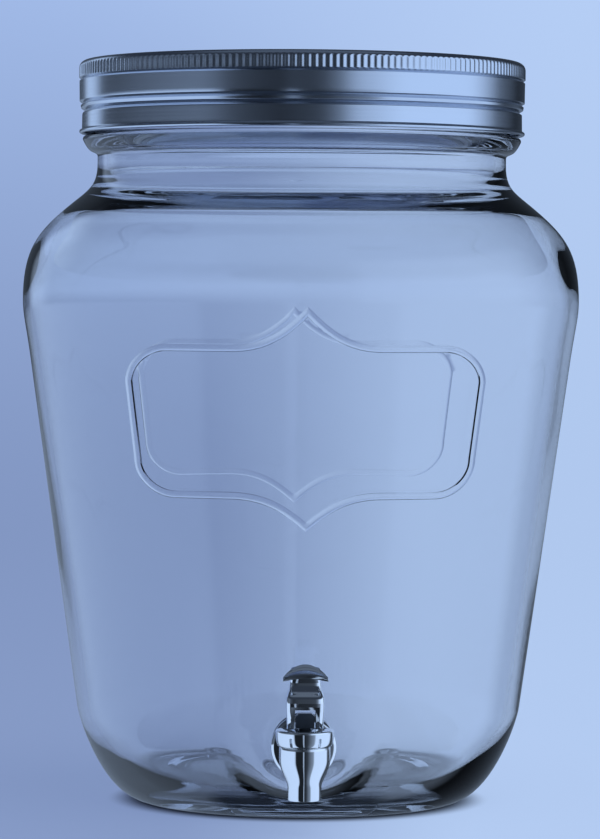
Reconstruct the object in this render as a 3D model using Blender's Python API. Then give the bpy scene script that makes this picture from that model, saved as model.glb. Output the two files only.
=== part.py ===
"""Glass drinks dispenser: a shouldered jar with a knurled screw lid and a lever tap.

Lengths are in metres and +Z is up. The jar stands on Z = 0 and its tap faces -Y.
Depths along the tap's shank are counted forward, from the jar's axis.
"""

import math

import bmesh
import bpy
import numpy as np
from mathutils import Matrix, Vector
from mathutils.geometry import interpolate_bezier

# Clearances, overlaps and drawing quality
SEAT_GAP = 0.0003
RUN_GAP = 0.0003
CUT_OVERRUN = 0.003
JOIN_OVERLAP = 0.0012
MERGE_DISTANCE = 0.000001
SHARP_ANGLE = math.radians(35)
JAR_STEPS = 48
LID_STEPS = 60
TAP_STEPS = 32
SMALL_STEPS = 16

# Jar, outside: radii, each counted from its neighbour
JAR_RADIUS = 0.1250
WAIST_INSET = 0.0037
WALL_INSET = 0.0216
CORNER_INSET = 0.0307
BASE_RING_WIDTH = 0.0080
PUSH_UP_EDGE = 0.0110
SHOULDER_INSET = 0.0200
FINISH_INSET = 0.0310
NECK_INSET = 0.0022
BEAD_PROUD = 0.0045
BEAD_ROUND = 0.0016
LIP_ROUND = 0.0012

# Jar, outside: heights, each counted from the one below
PUSH_UP_HEIGHT = 0.0040
CORNER_HEIGHT = 0.0420
WALL_RISE = 0.1555
WAIST_RISE = 0.0270
SHOULDER_RISE = 0.0415
NECK_RISE = 0.0200
BEAD_RISE = 0.0055
BEAD_THICKNESS = 0.0065
FINISH_RISE = 0.0030
LIP_RISE = 0.0259
SHOULDER_SLOPE = math.radians(42)
CORNER_HANDLES = (0.0180, 0.0070)
WAIST_HANDLES = (0.0150, 0.0070)
SHOULDER_HANDLES = (0.0220, 0.0180)
NECK_HANDLES = (0.0120, 0.0110)

# Jar, inside
WALL = 0.0040
CORNER_WALL = 0.0052
SHOULDER_WALL = 0.0046
BASE_WALL = 0.0075
FINISH_WALL = 0.0045
FLOOR_INSET = 0.0437
MOUTH_FLARE = 0.0010
FLOOR_HANDLES = (0.0200, 0.0100)

# Raised frame on the front and the back of the wall
FRAME_HALF_WIDTH = 0.0755
FRAME_TAPER = 0.0040
FRAME_BOTTOM_HEIGHT = 0.1290
FRAME_FOOT_RISE = 0.0130
FRAME_LOWER_CORNER_RISE = 0.0150
FRAME_SIDE_LENGTH = 0.0330
FRAME_UPPER_CORNER_RISE = 0.0145
FRAME_TOP_RISE = 0.0155
FRAME_CORNER = 0.0160
FRAME_OGEE_HALF_WIDTH = 0.0320
FRAME_RIB_WIDTH = 0.0032
FRAME_RIB_CROWN = 0.0018
FRAME_RIB_HEIGHT = 0.0009

# Tap seat in the glass
SHANK_HEIGHT = 0.0350
BOSS_PROUD = 0.0025
BOSS_LENGTH = 0.0232
BOSS_MARGIN = 0.0055
BOSS_FLARE = 0.0067
BOSS_WALL = 0.0050
SPOT_FACE_ROOM = 0.0014
TAP_HOLE_ROOM = 0.0010

# Lid
LID_FOOT_GAP = 0.0010
LID_FINISH_ROOM = 0.0024
LID_THREAD_WALL = 0.0003
LID_THREAD_DEPTH = 0.0022
LID_BAND_PROUD = 0.0010
LID_RIM_PROUD = 0.0004
LID_SHEET = 0.0006
LID_EDGE_ROUND = 0.0034
LID_RIM_WIDTH = 0.0183
LID_PANEL_STEP = 0.0011
LID_PANEL_RAMP = 0.0030
KNURL_FLUTES = 210
KNURL_DEPTH = 0.0007
KNURL_TOP_DROP = 0.0038
KNURL_LENGTH = 0.0048
KNURL_RUN_OUT = 0.0009
LID_PLAIN_FOOT = 0.0043
LID_CURL = 0.0010
LID_THREAD_PITCH = 0.0120
LID_THREAD_DROP = 0.0092
LID_THREAD_HALF_WIDTH = 0.0034
LID_THREAD_START = math.radians(-56)
LID_THREAD_RUN_IN = math.radians(250)
LID_THREAD_TURNS = math.radians(560)
LID_THREAD_ROWS = 10
GASKET_THICKNESS = 0.0034
GASKET_OVERHANG = 0.0015
GASKET_EDGE_ROOM = 0.0030

# Tap body: shank and flange
TAP_REACH = 0.0144
SHANK_RADIUS = 0.0070
SHANK_PROUD = 0.0016
SHANK_CHAMFER = 0.0008
PASSAGE_RADIUS = 0.0030
PASSAGE_DROP = 0.0014
NECK_PIPE_WALL = 0.0012
FLANGE_REACH = 0.0070
FLANGE_THICKNESS = 0.0026
FLANGE_RIM = 0.0012

# Tap body: valve chamber and spout, with heights counted from the shank's
SEAT_LEDGE = 0.0004
SEAT_CONE = 0.0014
CHAMBER_ROOM = 0.0016
SPIGOT_WALL = 0.0020
BODY_SHELF = 0.0012
NOZZLE_WALL = 0.00215
NOZZLE_CHAMFER = 0.0004
BODY_SEAT_RISE = 0.0021
SPIGOT_RISE = 0.0039
BELLY_DROP = 0.0035
BODY_TAPER_LENGTH = 0.0112
NOZZLE_LENGTH = 0.0060
SEAT_DROP = 0.0064
BODY_HANDLES = (0.0045, 0.0022)

# Bonnet
BONNET_FOOT_PROUD = 0.0005
BONNET_FLARE = 0.0011
BONNET_HANDLES = (0.0014, 0.0020)
BONNET_ROOF = 0.0016
BONNET_ROUND = 0.0007
NOTCH_COUNT = 6
NOTCH_WIDTH = 0.0012
NOTCH_DEPTH = 0.0012
NOTCH_DROP = 0.0026
NOTCH_LENGTH = 0.0037

# Seat cup, stem and spring
STEM_RADIUS = 0.0025
SPRING_TURNS = 5
SPRING_POINTS_PER_TURN = 10
SPRING_WIRE_RADIUS = 0.00035
SPRING_ROOM = 0.00055
COLLAR_EDGE = 0.00095
COLLAR_THICKNESS = 0.0012
CUP_ROOM = 0.0005
CUP_SKIN = 0.0008
CUP_RIM = 0.0010
CUP_FLOOR_RISE = 0.0026
CUP_TIP_ROOM = 0.0006
BUTTON_RADIUS = 0.0022
BUTTON_THICKNESS = 0.0012
BUTTON_LIP = 0.0009
HEAD_WIDTH = 0.0078
HEAD_DEPTH = 0.0064
HEAD_CLEARANCE = 0.0008
HEAD_RISE = 0.0026
HEAD_CHAMFER = 0.0011

# Lever and its pin
PIN_RADIUS = 0.0013
PIN_INSET = 0.0010
HEAD_ROOM = 0.0004
LEVER_RECESS_STEP = 0.0017
LEVER_CHEEK = 0.0025
LEVER_WINDOW_RISE = 0.0029
LEVER_RECESS_DEPTH = 0.0042
LEVER_HEIGHT = 0.0208
LEVER_DEPTH = 0.0074
LEVER_HEEL = 0.0044
LEVER_TRAVEL = math.radians(80)
VALVE_LIFT = 0.0030
CAM_REST = 0.0041
LEVER_SECTION_POINTS = 20
CAM_STEPS = 6
REST_OVERHANG = 0.0010
REST_LENGTH = 0.0078
REST_TILT = math.radians(42)
REST_FRONT_DROP = 0.0028
REST_SETBACK = 0.0008
REST_DROOP = 0.0012
REST_THICKNESS = 0.0019
REST_DISH = 0.0008
REST_TIP_LENGTH = 0.0016
REST_STEPS = 12

# Washers and nut on the shank
WASHER_THICKNESS = 0.0018
OUTER_WASHER_INSET = 0.0008
INNER_WASHER_INSET = 0.0010
NUT_THICKNESS = 0.0070
NUT_WALL = 0.0035
NUT_FLANGE = 0.0016
NUT_FLANGE_REACH = 0.0031

# Radii and heights of the jar that follow from the sizes above
WALL_TOP_RADIUS = JAR_RADIUS - WAIST_INSET
CORNER_RADIUS = WALL_TOP_RADIUS - WALL_INSET
BASE_RING_RADIUS = CORNER_RADIUS - CORNER_INSET
BASE_RING_INNER_RADIUS = BASE_RING_RADIUS - BASE_RING_WIDTH
PUSH_UP_RADIUS = BASE_RING_INNER_RADIUS - PUSH_UP_EDGE
FLOOR_RADIUS = CORNER_RADIUS - FLOOR_INSET
SHOULDER_RADIUS = JAR_RADIUS - SHOULDER_INSET
FINISH_RADIUS = JAR_RADIUS - FINISH_INSET
NECK_RADIUS = FINISH_RADIUS - NECK_INSET
BEAD_RADIUS = FINISH_RADIUS + BEAD_PROUD
MOUTH_RADIUS = FINISH_RADIUS - FINISH_WALL
WALL_TOP_HEIGHT = CORNER_HEIGHT + WALL_RISE
WIDEST_HEIGHT = WALL_TOP_HEIGHT + WAIST_RISE
SHOULDER_HEIGHT = WIDEST_HEIGHT + SHOULDER_RISE
NECK_HEIGHT = SHOULDER_HEIGHT + NECK_RISE
BEAD_BOTTOM_HEIGHT = NECK_HEIGHT + BEAD_RISE
BEAD_TOP_HEIGHT = BEAD_BOTTOM_HEIGHT + BEAD_THICKNESS
FINISH_HEIGHT = BEAD_TOP_HEIGHT + FINISH_RISE
LIP_HEIGHT = FINISH_HEIGHT + LIP_RISE
FRAME_FOOT_HALF_WIDTH = FRAME_HALF_WIDTH - FRAME_TAPER
FRAME_FOOT_HEIGHT = FRAME_BOTTOM_HEIGHT + FRAME_FOOT_RISE
FRAME_LOWER_CORNER_HEIGHT = FRAME_FOOT_HEIGHT + FRAME_LOWER_CORNER_RISE
FRAME_UPPER_CORNER_HEIGHT = FRAME_LOWER_CORNER_HEIGHT + FRAME_SIDE_LENGTH
FRAME_SHOULDER_HEIGHT = FRAME_UPPER_CORNER_HEIGHT + FRAME_UPPER_CORNER_RISE
FRAME_TOP_HEIGHT = FRAME_SHOULDER_HEIGHT + FRAME_TOP_RISE

# Radii and heights of the lid that follow
LID_BOTTOM_HEIGHT = BEAD_TOP_HEIGHT + LID_FOOT_GAP
LID_TOP_HEIGHT = LIP_HEIGHT + SEAT_GAP + GASKET_THICKNESS + SEAT_GAP + LID_SHEET
KNURL_BOTTOM_DROP = KNURL_TOP_DROP + KNURL_LENGTH
LID_SKIRT_BORE = FINISH_RADIUS + LID_FINISH_ROOM
LID_SKIRT_RADIUS = LID_SKIRT_BORE + LID_THREAD_WALL + LID_THREAD_DEPTH
LID_BAND_RADIUS = LID_SKIRT_RADIUS + LID_BAND_PROUD
LID_RADIUS = LID_BAND_RADIUS + LID_RIM_PROUD
LID_PANEL_RADIUS = LID_RADIUS - LID_RIM_WIDTH
GASKET_INNER_RADIUS = MOUTH_RADIUS - GASKET_OVERHANG
GASKET_OUTER_RADIUS = LID_RADIUS - KNURL_DEPTH - LID_SHEET - GASKET_EDGE_ROOM

# Radii and depths along the tap's shank that follow
NECK_PIPE_RADIUS = PASSAGE_RADIUS + PASSAGE_DROP + NECK_PIPE_WALL
TAP_HOLE_RADIUS = SHANK_RADIUS + TAP_HOLE_ROOM
FLANGE_RADIUS = SHANK_RADIUS + FLANGE_REACH
BOSS_RADIUS = FLANGE_RADIUS + BOSS_MARGIN
BOSS_ROOT_RADIUS = BOSS_RADIUS + BOSS_FLARE
NUT_HALF_FLATS = SHANK_RADIUS + NUT_WALL
NUT_FLANGE_RADIUS = NUT_HALF_FLATS + NUT_FLANGE_REACH
SPOT_FACE_RADIUS = NUT_FLANGE_RADIUS + SPOT_FACE_ROOM
OUTER_WASHER_RADIUS = FLANGE_RADIUS - OUTER_WASHER_INSET
INNER_WASHER_RADIUS = NUT_FLANGE_RADIUS - INNER_WASHER_INSET
BOSS_FACE_DEPTH = CORNER_RADIUS + BOSS_PROUD
BOSS_ROOT_DEPTH = BOSS_FACE_DEPTH - BOSS_LENGTH
FLANGE_BACK_DEPTH = BOSS_FACE_DEPTH + SEAT_GAP + WASHER_THICKNESS + SEAT_GAP
FLANGE_FRONT_DEPTH = FLANGE_BACK_DEPTH + FLANGE_THICKNESS
TAP_AXIS_DEPTH = FLANGE_FRONT_DEPTH + TAP_REACH
BOSS_BACK_DEPTH = BOSS_FACE_DEPTH - BOSS_WALL
NUT_FRONT_DEPTH = BOSS_BACK_DEPTH - SEAT_GAP - WASHER_THICKNESS - SEAT_GAP
NUT_BACK_DEPTH = NUT_FRONT_DEPTH - NUT_THICKNESS
SHANK_END_DEPTH = NUT_BACK_DEPTH - SHANK_PROUD

# Radii of the valve that follow, from the stem outwards
SPRING_RADIUS = STEM_RADIUS + SPRING_ROOM + SPRING_WIRE_RADIUS
COLLAR_RADIUS = SPRING_RADIUS + SPRING_WIRE_RADIUS + COLLAR_EDGE
CUP_RADIUS = COLLAR_RADIUS + CUP_ROOM + CUP_SKIN
SEAT_RADIUS = CUP_RADIUS + SEAT_LEDGE
OUTLET_RADIUS = SEAT_RADIUS - SEAT_CONE
CUP_TIP_RADIUS = OUTLET_RADIUS - CUP_TIP_ROOM
NOZZLE_RADIUS = OUTLET_RADIUS + NOZZLE_WALL
CHAMBER_RADIUS = CUP_RADIUS + CHAMBER_ROOM
SPIGOT_RADIUS = CHAMBER_RADIUS + SPIGOT_WALL
BODY_RADIUS = SPIGOT_RADIUS + BODY_SHELF
BONNET_FOOT_RADIUS = BODY_RADIUS + BONNET_FOOT_PROUD
BONNET_RADIUS = BONNET_FOOT_RADIUS + BONNET_FLARE
BUTTON_NECK_RADIUS = BUTTON_RADIUS - BUTTON_LIP

# Heights of the valve that follow, from the shank's
PASSAGE_HEIGHT = SHANK_HEIGHT - PASSAGE_DROP
BODY_SEAT_HEIGHT = SHANK_HEIGHT + BODY_SEAT_RISE
SPIGOT_TOP_HEIGHT = BODY_SEAT_HEIGHT + SPIGOT_RISE
BODY_BELLY_HEIGHT = SHANK_HEIGHT - BELLY_DROP
NOZZLE_TOP_HEIGHT = BODY_BELLY_HEIGHT - BODY_TAPER_LENGTH
NOZZLE_BOTTOM_HEIGHT = NOZZLE_TOP_HEIGHT - NOZZLE_LENGTH
SEAT_HEIGHT = SHANK_HEIGHT - SEAT_DROP
BUTTON_BOTTOM_HEIGHT = SEAT_HEIGHT
CUP_FLOOR_HEIGHT = SEAT_HEIGHT + CUP_FLOOR_RISE
COLLAR_BOTTOM = CUP_FLOOR_HEIGHT + SEAT_GAP
COLLAR_TOP = COLLAR_BOTTOM + COLLAR_THICKNESS
ROOF_UNDERSIDE = SPIGOT_TOP_HEIGHT + SEAT_GAP + CUP_RIM + SEAT_GAP
BONNET_TOP_HEIGHT = ROOF_UNDERSIDE + BONNET_ROOF
NOTCH_TOP_HEIGHT = BONNET_TOP_HEIGHT - NOTCH_DROP
NOTCH_BOTTOM_HEIGHT = NOTCH_TOP_HEIGHT - NOTCH_LENGTH
PIN_HEIGHT = BONNET_TOP_HEIGHT + SEAT_GAP + CAM_REST
HEAD_BOTTOM_HEIGHT = BONNET_TOP_HEIGHT + HEAD_CLEARANCE
HEAD_TOP_HEIGHT = PIN_HEIGHT + HEAD_RISE

# Sizes of the lever that follow
CAM_GAIN = VALVE_LIFT / LEVER_TRAVEL
LEVER_SLOT_WIDTH = HEAD_WIDTH + 2 * HEAD_ROOM
LEVER_SLOT_TOP = HEAD_RISE + LEVER_WINDOW_RISE
LEVER_RECESS_WIDTH = LEVER_SLOT_WIDTH + 2 * LEVER_RECESS_STEP
LEVER_RECESS_TOP = LEVER_SLOT_TOP + LEVER_RECESS_STEP
LEVER_WIDTH = LEVER_RECESS_WIDTH + 2 * LEVER_CHEEK
PIN_LENGTH = LEVER_WIDTH - 2 * PIN_INSET
REST_WIDTH = LEVER_WIDTH + 2 * REST_OVERHANG
REST_FRONT_HEIGHT = LEVER_HEIGHT - REST_FRONT_DROP
REST_FRONT_DEPTH = LEVER_DEPTH - REST_SETBACK

# Place of the jar's axis behind the middle of the whole
JAR_AXIS_Y = (TAP_AXIS_DEPTH + BONNET_RADIUS - JAR_RADIUS) / 2

# Lever sections above the cam, as shares of its height, half width, depth and heel.
# Columns: height, half width, front, back, squareness of the section, and lean of its plane.
LEVER_SECTION_SHARES = (
    (0.19, 0.98, 0.97, 1.00, 4.0, 0),
    (0.385, 1.00, 0.88, 0.92, 4.0, 0),
    (0.545, 0.89, 0.66, 0.66, 3.6, 0.1),
    (0.66, 0.80, 0.50, 0.42, 3.4, 0.2),
    (0.79, 0.75, 0.50, 0.14, 3.2, 0.5),
    (0.90, 0.72, 0.60, -0.12, 3.0, 0.75),
    (1.00, 0.70, 0.74, -0.32, 3.0, 0.9),
)

# The dished section of the thumb rest: shares of its length and thickness, and of its dish
REST_SECTION_SHARES = (
    (0.00, 0.0, 0),
    (0.06, 0.7, 0),
    (0.16, 1.0, 0),
    (0.36, 1.0, 0.8),
    (0.60, 1.0, 1.0),
    (0.86, 1.0, 0.2),
    (0.97, 0.8, 0),
    (1.00, 0.2, 0),
    (0.94, -0.2, 0),
    (0.50, -0.4, 0),
    (0.06, -0.2, 0),
)


def clear_scene():
    """Remove whatever the file was opened with."""
    for obj in list(bpy.data.objects):
        bpy.data.objects.remove(obj, do_unlink=True)


def make_material(name, colour, roughness, metallic, alpha=1.0):
    """A Principled material in the colour and finish that the piece has."""
    material = bpy.data.materials.new(name)
    material.use_nodes = True
    shader = material.node_tree.nodes["Principled BSDF"]
    shader.inputs["Base Color"].default_value = (*colour, 1.0)
    shader.inputs["Roughness"].default_value = roughness
    shader.inputs["Metallic"].default_value = metallic
    shader.inputs["Alpha"].default_value = alpha
    return material


def make_empty(name, location, parent=None):
    """An empty that marks an axis and carries the pieces on it."""
    empty = bpy.data.objects.new(name, None)
    empty.location = location
    empty.parent = parent
    bpy.context.scene.collection.objects.link(empty)
    return empty


def make_object(name, bm, parent, material=None, turn=(0, 0, 0)):
    """Turn a bmesh into a named object under its parent."""
    mesh = bpy.data.meshes.new(name)
    bm.to_mesh(mesh)
    bm.free()
    mesh.shade_smooth()
    mesh.set_sharp_from_angle(angle=SHARP_ANGLE)
    if material:
        mesh.materials.append(material)
    obj = bpy.data.objects.new(name, mesh)
    obj.rotation_euler = turn
    obj.parent = parent
    bpy.context.scene.collection.objects.link(obj)
    return obj


def combine(obj, operation, *tools):
    """Join, cut or intersect an object with hidden helper shapes."""
    for tool in tools:
        tool.hide_render = True
        tool.display_type = "WIRE"
        modifier = obj.modifiers.new(tool.name, "BOOLEAN")
        modifier.operation = operation
        modifier.solver = "EXACT"
        modifier.object = tool


def turned(outline, steps):
    """Spin (radius, height) points about Z; the outline closes unless it ends on the axis."""
    bm = bmesh.new()
    verts = [bm.verts.new((radius, 0, height)) for radius, height in outline]
    edges = [bm.edges.new(pair) for pair in zip(verts, verts[1:])]
    if outline[0][0] > 0:
        edges.append(bm.edges.new((verts[-1], verts[0])))
    bmesh.ops.spin(
        bm,
        geom=verts + edges,
        cent=(0, 0, 0),
        axis=(0, 0, 1),
        angle=math.tau,
        steps=steps,
        use_merge=True,
    )
    bmesh.ops.remove_doubles(bm, verts=bm.verts, dist=MERGE_DISTANCE)
    bmesh.ops.recalc_face_normals(bm, faces=bm.faces)
    return bm


def lofted(loops, closed=False):
    """Skin a row of equal loops, with end faces unless the row closes on itself."""
    bm = bmesh.new()
    rings = [[bm.verts.new(point) for point in loop] for loop in loops]
    pairs = list(zip(rings, rings[1:]))
    if closed:
        pairs.append((rings[-1], rings[0]))
    for near, far in pairs:
        skin(bm, near, far)
    if not closed:
        bm.faces.new(rings[0])
        bm.faces.new(rings[-1])
    bmesh.ops.recalc_face_normals(bm, faces=bm.faces)
    return bm


def skin(bm, near, far):
    """Fill between two closed rings; the far one may have a whole number of times more points."""
    count = len(near)
    fans = len(far) // count
    for i in range(count):
        j = (i + 1) % count
        tips = [far[(i * fans + k) % len(far)] for k in range(fans + 1)]
        if fans == 1:
            bm.faces.new((near[i], near[j], tips[1], tips[0]))
            continue
        middle = fans // 2
        for k in range(fans):
            corner = near[i] if k < middle else near[j]
            bm.faces.new((corner, tips[k + 1], tips[k]))
        bm.faces.new((near[i], near[j], tips[middle]))


def box(low, high):
    """A block between two corners."""
    low = Vector(low)
    high = Vector(high)
    bm = bmesh.new()
    place = Matrix.Translation((low + high) / 2) @ Matrix.Diagonal((high - low).to_4d())
    bmesh.ops.create_cube(bm, size=1, matrix=place)
    return bm


def curve(start, start_handle, end_handle, end, count):
    """Points of a Bezier curve in an outline, without its first point."""
    knots = [Vector((*point, 0)) for point in (start, start_handle, end_handle, end)]
    points = interpolate_bezier(*knots, count + 1)
    return [(point.x, point.y) for point in points[1:]]


def arc(centre, radius, first, last, count):
    """Points of an arc in an outline, with both of its ends."""
    angles = np.linspace(math.radians(first), math.radians(last), count + 1)
    return [(centre[0] + radius * math.cos(a), centre[1] + radius * math.sin(a)) for a in angles]


def along(point, direction, distance):
    """A point moved along a direction in the outline's plane."""
    return (point[0] + direction[0] * distance, point[1] + direction[1] * distance)


def wall_direction():
    """The unit direction in which the straight wall rises."""
    rise = Vector((WALL_TOP_RADIUS - CORNER_RADIUS, WALL_TOP_HEIGHT - CORNER_HEIGHT))
    return tuple(rise.normalized())


def jar_body_outline(thickness=(0, 0, 0)):
    """The flank of the jar from its lower corner to its neck, moved in by the wall's thickness."""
    corner_wall, wall, shoulder_wall = thickness
    up = wall_direction()
    slope = (-math.cos(SHOULDER_SLOPE), math.sin(SHOULDER_SLOPE))
    corner = (CORNER_RADIUS - corner_wall, CORNER_HEIGHT)
    top = (WALL_TOP_RADIUS - wall, WALL_TOP_HEIGHT)
    widest = (JAR_RADIUS - wall, WIDEST_HEIGHT)
    shoulder = (
        SHOULDER_RADIUS - shoulder_wall * math.sin(SHOULDER_SLOPE),
        SHOULDER_HEIGHT - shoulder_wall * math.cos(SHOULDER_SLOPE),
    )
    neck = (NECK_RADIUS - shoulder_wall, NECK_HEIGHT)
    points = [corner, top]
    points += curve(
        top,
        along(top, up, WAIST_HANDLES[0]),
        along(widest, (0, -1), WAIST_HANDLES[1]),
        widest,
        3,
    )
    points += curve(
        widest,
        along(widest, (0, 1), SHOULDER_HANDLES[0]),
        along(shoulder, slope, -SHOULDER_HANDLES[1]),
        shoulder,
        5,
    )
    points += curve(
        shoulder,
        along(shoulder, slope, NECK_HANDLES[0]),
        along(neck, (0, -1), NECK_HANDLES[1]),
        neck,
        4,
    )
    return points


def jar_outline():
    """The outside of the jar, from the middle of its base to the middle of its mouth."""
    ring = (BASE_RING_RADIUS, 0)
    corner = (CORNER_RADIUS, CORNER_HEIGHT)
    points = [(0, PUSH_UP_HEIGHT), (PUSH_UP_RADIUS, PUSH_UP_HEIGHT), (BASE_RING_INNER_RADIUS, 0), ring]
    points += curve(
        ring,
        along(ring, (1, 0), CORNER_HANDLES[0]),
        along(corner, wall_direction(), -CORNER_HANDLES[1]),
        corner,
        7,
    )[:-1]
    points += jar_body_outline()
    bead_round_radius = BEAD_RADIUS - BEAD_ROUND
    points += arc((bead_round_radius, BEAD_BOTTOM_HEIGHT + BEAD_ROUND), BEAD_ROUND, -60, 0, 2)
    points += arc((bead_round_radius, BEAD_TOP_HEIGHT - BEAD_ROUND), BEAD_ROUND, 0, 90, 2)
    points += [(FINISH_RADIUS, FINISH_HEIGHT)]
    points += arc((FINISH_RADIUS - LIP_ROUND, LIP_HEIGHT - LIP_ROUND), LIP_ROUND, 0, 90, 2)
    points += [(0, LIP_HEIGHT)]
    return points


def cavity_outline():
    """The inside of the jar, from the middle of its floor out through its mouth."""
    floor_height = PUSH_UP_HEIGHT + BASE_WALL
    edge = (FLOOR_RADIUS, floor_height)
    flank = jar_body_outline((CORNER_WALL, WALL, SHOULDER_WALL))
    points = [(0, floor_height), edge]
    points += curve(
        edge,
        along(edge, (1, 0), FLOOR_HANDLES[0]),
        along(flank[0], wall_direction(), -FLOOR_HANDLES[1]),
        flank[0],
        4,
    )[:-1]
    points += flank[::2] if len(flank) % 2 else flank[:1] + flank[1::2]
    points += [
        (MOUTH_RADIUS, FINISH_HEIGHT),
        (MOUTH_RADIUS, LIP_HEIGHT - MOUTH_FLARE),
        (MOUTH_RADIUS + MOUTH_FLARE, LIP_HEIGHT),
        (MOUTH_RADIUS + MOUTH_FLARE, LIP_HEIGHT + CUT_OVERRUN),
        (0, LIP_HEIGHT + CUT_OVERRUN),
    ]
    return points


def frame_half_outline():
    """Half of the raised frame seen from the front, from its top point to its bottom point."""
    top = (0, FRAME_TOP_HEIGHT)
    upper_ogee = (FRAME_OGEE_HALF_WIDTH, FRAME_SHOULDER_HEIGHT)
    upper_corner = (FRAME_HALF_WIDTH - FRAME_CORNER, FRAME_SHOULDER_HEIGHT)
    upper_side = (FRAME_HALF_WIDTH, FRAME_UPPER_CORNER_HEIGHT)
    lower_side = (FRAME_FOOT_HALF_WIDTH, FRAME_LOWER_CORNER_HEIGHT)
    lower_corner = (FRAME_FOOT_HALF_WIDTH - FRAME_CORNER, FRAME_FOOT_HEIGHT)
    lower_ogee = (FRAME_OGEE_HALF_WIDTH, FRAME_FOOT_HEIGHT)
    bottom = (0, FRAME_BOTTOM_HEIGHT)
    reach = FRAME_OGEE_HALF_WIDTH / 2
    upper_rise = (FRAME_TOP_HEIGHT - FRAME_SHOULDER_HEIGHT) / 2
    lower_fall = (FRAME_FOOT_HEIGHT - FRAME_BOTTOM_HEIGHT) / 2
    bend = FRAME_CORNER / 2
    points = [top]
    points += curve(
        top,
        (reach / 2, top[1] - upper_rise),
        along(upper_ogee, (-1, 0), reach),
        upper_ogee,
        4,
    )
    points += [upper_corner]
    points += curve(
        upper_corner,
        along(upper_corner, (1, 0), bend),
        along(upper_side, (0, 1), bend),
        upper_side,
        4,
    )
    points += [lower_side]
    points += curve(
        lower_side,
        along(lower_side, (0, -1), bend),
        along(lower_corner, (1, 0), bend),
        lower_corner,
        4,
    )
    points += [lower_ogee]
    points += curve(
        lower_ogee,
        along(lower_ogee, (-1, 0), reach),
        (reach / 2, bottom[1] + lower_fall),
        bottom,
        4,
    )
    return points


def frame_rib(facing):
    """The frame's raised rib laid on the wall, facing -1 for the front and 1 for the back."""
    half = frame_half_outline()
    path = half + [(-x, z) for x, z in half[-2:0:-1]]
    flank = jar_body_outline()
    heights = [height for _, height in flank]
    radii = [radius for radius, _ in flank]
    loops = []
    for i, (x, z) in enumerate(path):
        before = path[i - 1]
        after = path[(i + 1) % len(path)]
        run = Vector((after[0] - before[0], after[1] - before[1])).normalized()
        radius = float(np.interp(z, heights, radii))
        loops.append(rib_section(x, z, run, radius, facing))
    return lofted(loops, closed=True)


def rib_section(x, z, run, wall_radius, facing):
    """Four corners of the rib where the frame passes a point of the wall."""
    section = []
    for side, lift in (
        (-FRAME_RIB_WIDTH / 2, -JOIN_OVERLAP),
        (-FRAME_RIB_CROWN / 2, FRAME_RIB_HEIGHT),
        (FRAME_RIB_CROWN / 2, FRAME_RIB_HEIGHT),
        (FRAME_RIB_WIDTH / 2, -JOIN_OVERLAP),
    ):
        across = x + run.y * side
        height = z - run.x * side
        outward = wall_radius + lift
        depth = math.sqrt(outward**2 - across**2)
        section.append((across, facing * depth, height))
    return section


def make_jar(glass, jar_axis, shank_axis):
    """The pressed glass jar with its frames, tap boss and drilled tap hole."""
    jar = make_object("glass_jar", turned(jar_outline(), JAR_STEPS), jar_axis, glass)
    boss_outline = [
        (0, BOSS_ROOT_DEPTH),
        (BOSS_ROOT_RADIUS, BOSS_ROOT_DEPTH),
        (BOSS_RADIUS, BOSS_FACE_DEPTH),
        (0, BOSS_FACE_DEPTH),
    ]
    boss = make_object("boss_form", turned(boss_outline, TAP_STEPS), shank_axis)
    cavity = make_object("cavity_form", turned(cavity_outline(), JAR_STEPS), jar_axis)
    spot_start = BOSS_BACK_DEPTH - SPOT_FACE_RADIUS
    spot_face = make_object(
        "spot_face_form", rod(SPOT_FACE_RADIUS, spot_start, BOSS_BACK_DEPTH, TAP_STEPS), shank_axis
    )
    hole = make_object(
        "tap_hole_form",
        rod(TAP_HOLE_RADIUS, spot_start, BOSS_FACE_DEPTH + CUT_OVERRUN, TAP_STEPS),
        shank_axis,
    )
    front_rib = make_object("front_frame_form", frame_rib(-1), jar_axis)
    back_rib = make_object("back_frame_form", frame_rib(1), jar_axis)
    combine(jar, "UNION", boss, front_rib, back_rib)
    combine(jar, "DIFFERENCE", cavity, spot_face, hole)
    return jar


def rod(radius, start, end, steps):
    """A plain round bar along Z."""
    return turned([(0, start), (radius, start), (radius, end), (0, end)], steps)


def ring_outline(inner, outer, bottom, top):
    """The section of a flat ring."""
    return [(outer, top), (outer, bottom), (inner, bottom), (inner, top)]


def thread_offset(angle, height):
    """How far the rolled thread draws the lid's skirt in at an angle and a height."""
    turn = (LID_THREAD_START - angle) % math.tau
    inset = 0
    while turn < LID_THREAD_TURNS:
        centre = LID_TOP_HEIGHT - LID_THREAD_DROP - LID_THREAD_PITCH * turn / math.tau
        strength = min(1, turn / LID_THREAD_RUN_IN, (LID_THREAD_TURNS - turn) / LID_THREAD_RUN_IN)
        half_width = LID_THREAD_HALF_WIDTH * (1 + strength) / 2
        away = abs(height - centre) / half_width
        if away < 1:
            inset = max(inset, LID_THREAD_DEPTH * strength * (1 + math.cos(math.pi * away)) / 2)
        turn += math.tau
    return inset


def lid_ring(bm, radius, height, count=LID_STEPS, threaded=False, knurled=False):
    """One ring of the lid's surface, drawn in by the thread or cut into flutes."""
    ring = []
    for i in range(count):
        angle = math.tau * i / count
        here = radius
        if threaded:
            here -= thread_offset(angle, height)
        if knurled and i % 2:
            here -= KNURL_DEPTH
        ring.append(bm.verts.new((here * math.cos(angle), here * math.sin(angle), height)))
    return ring


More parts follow.
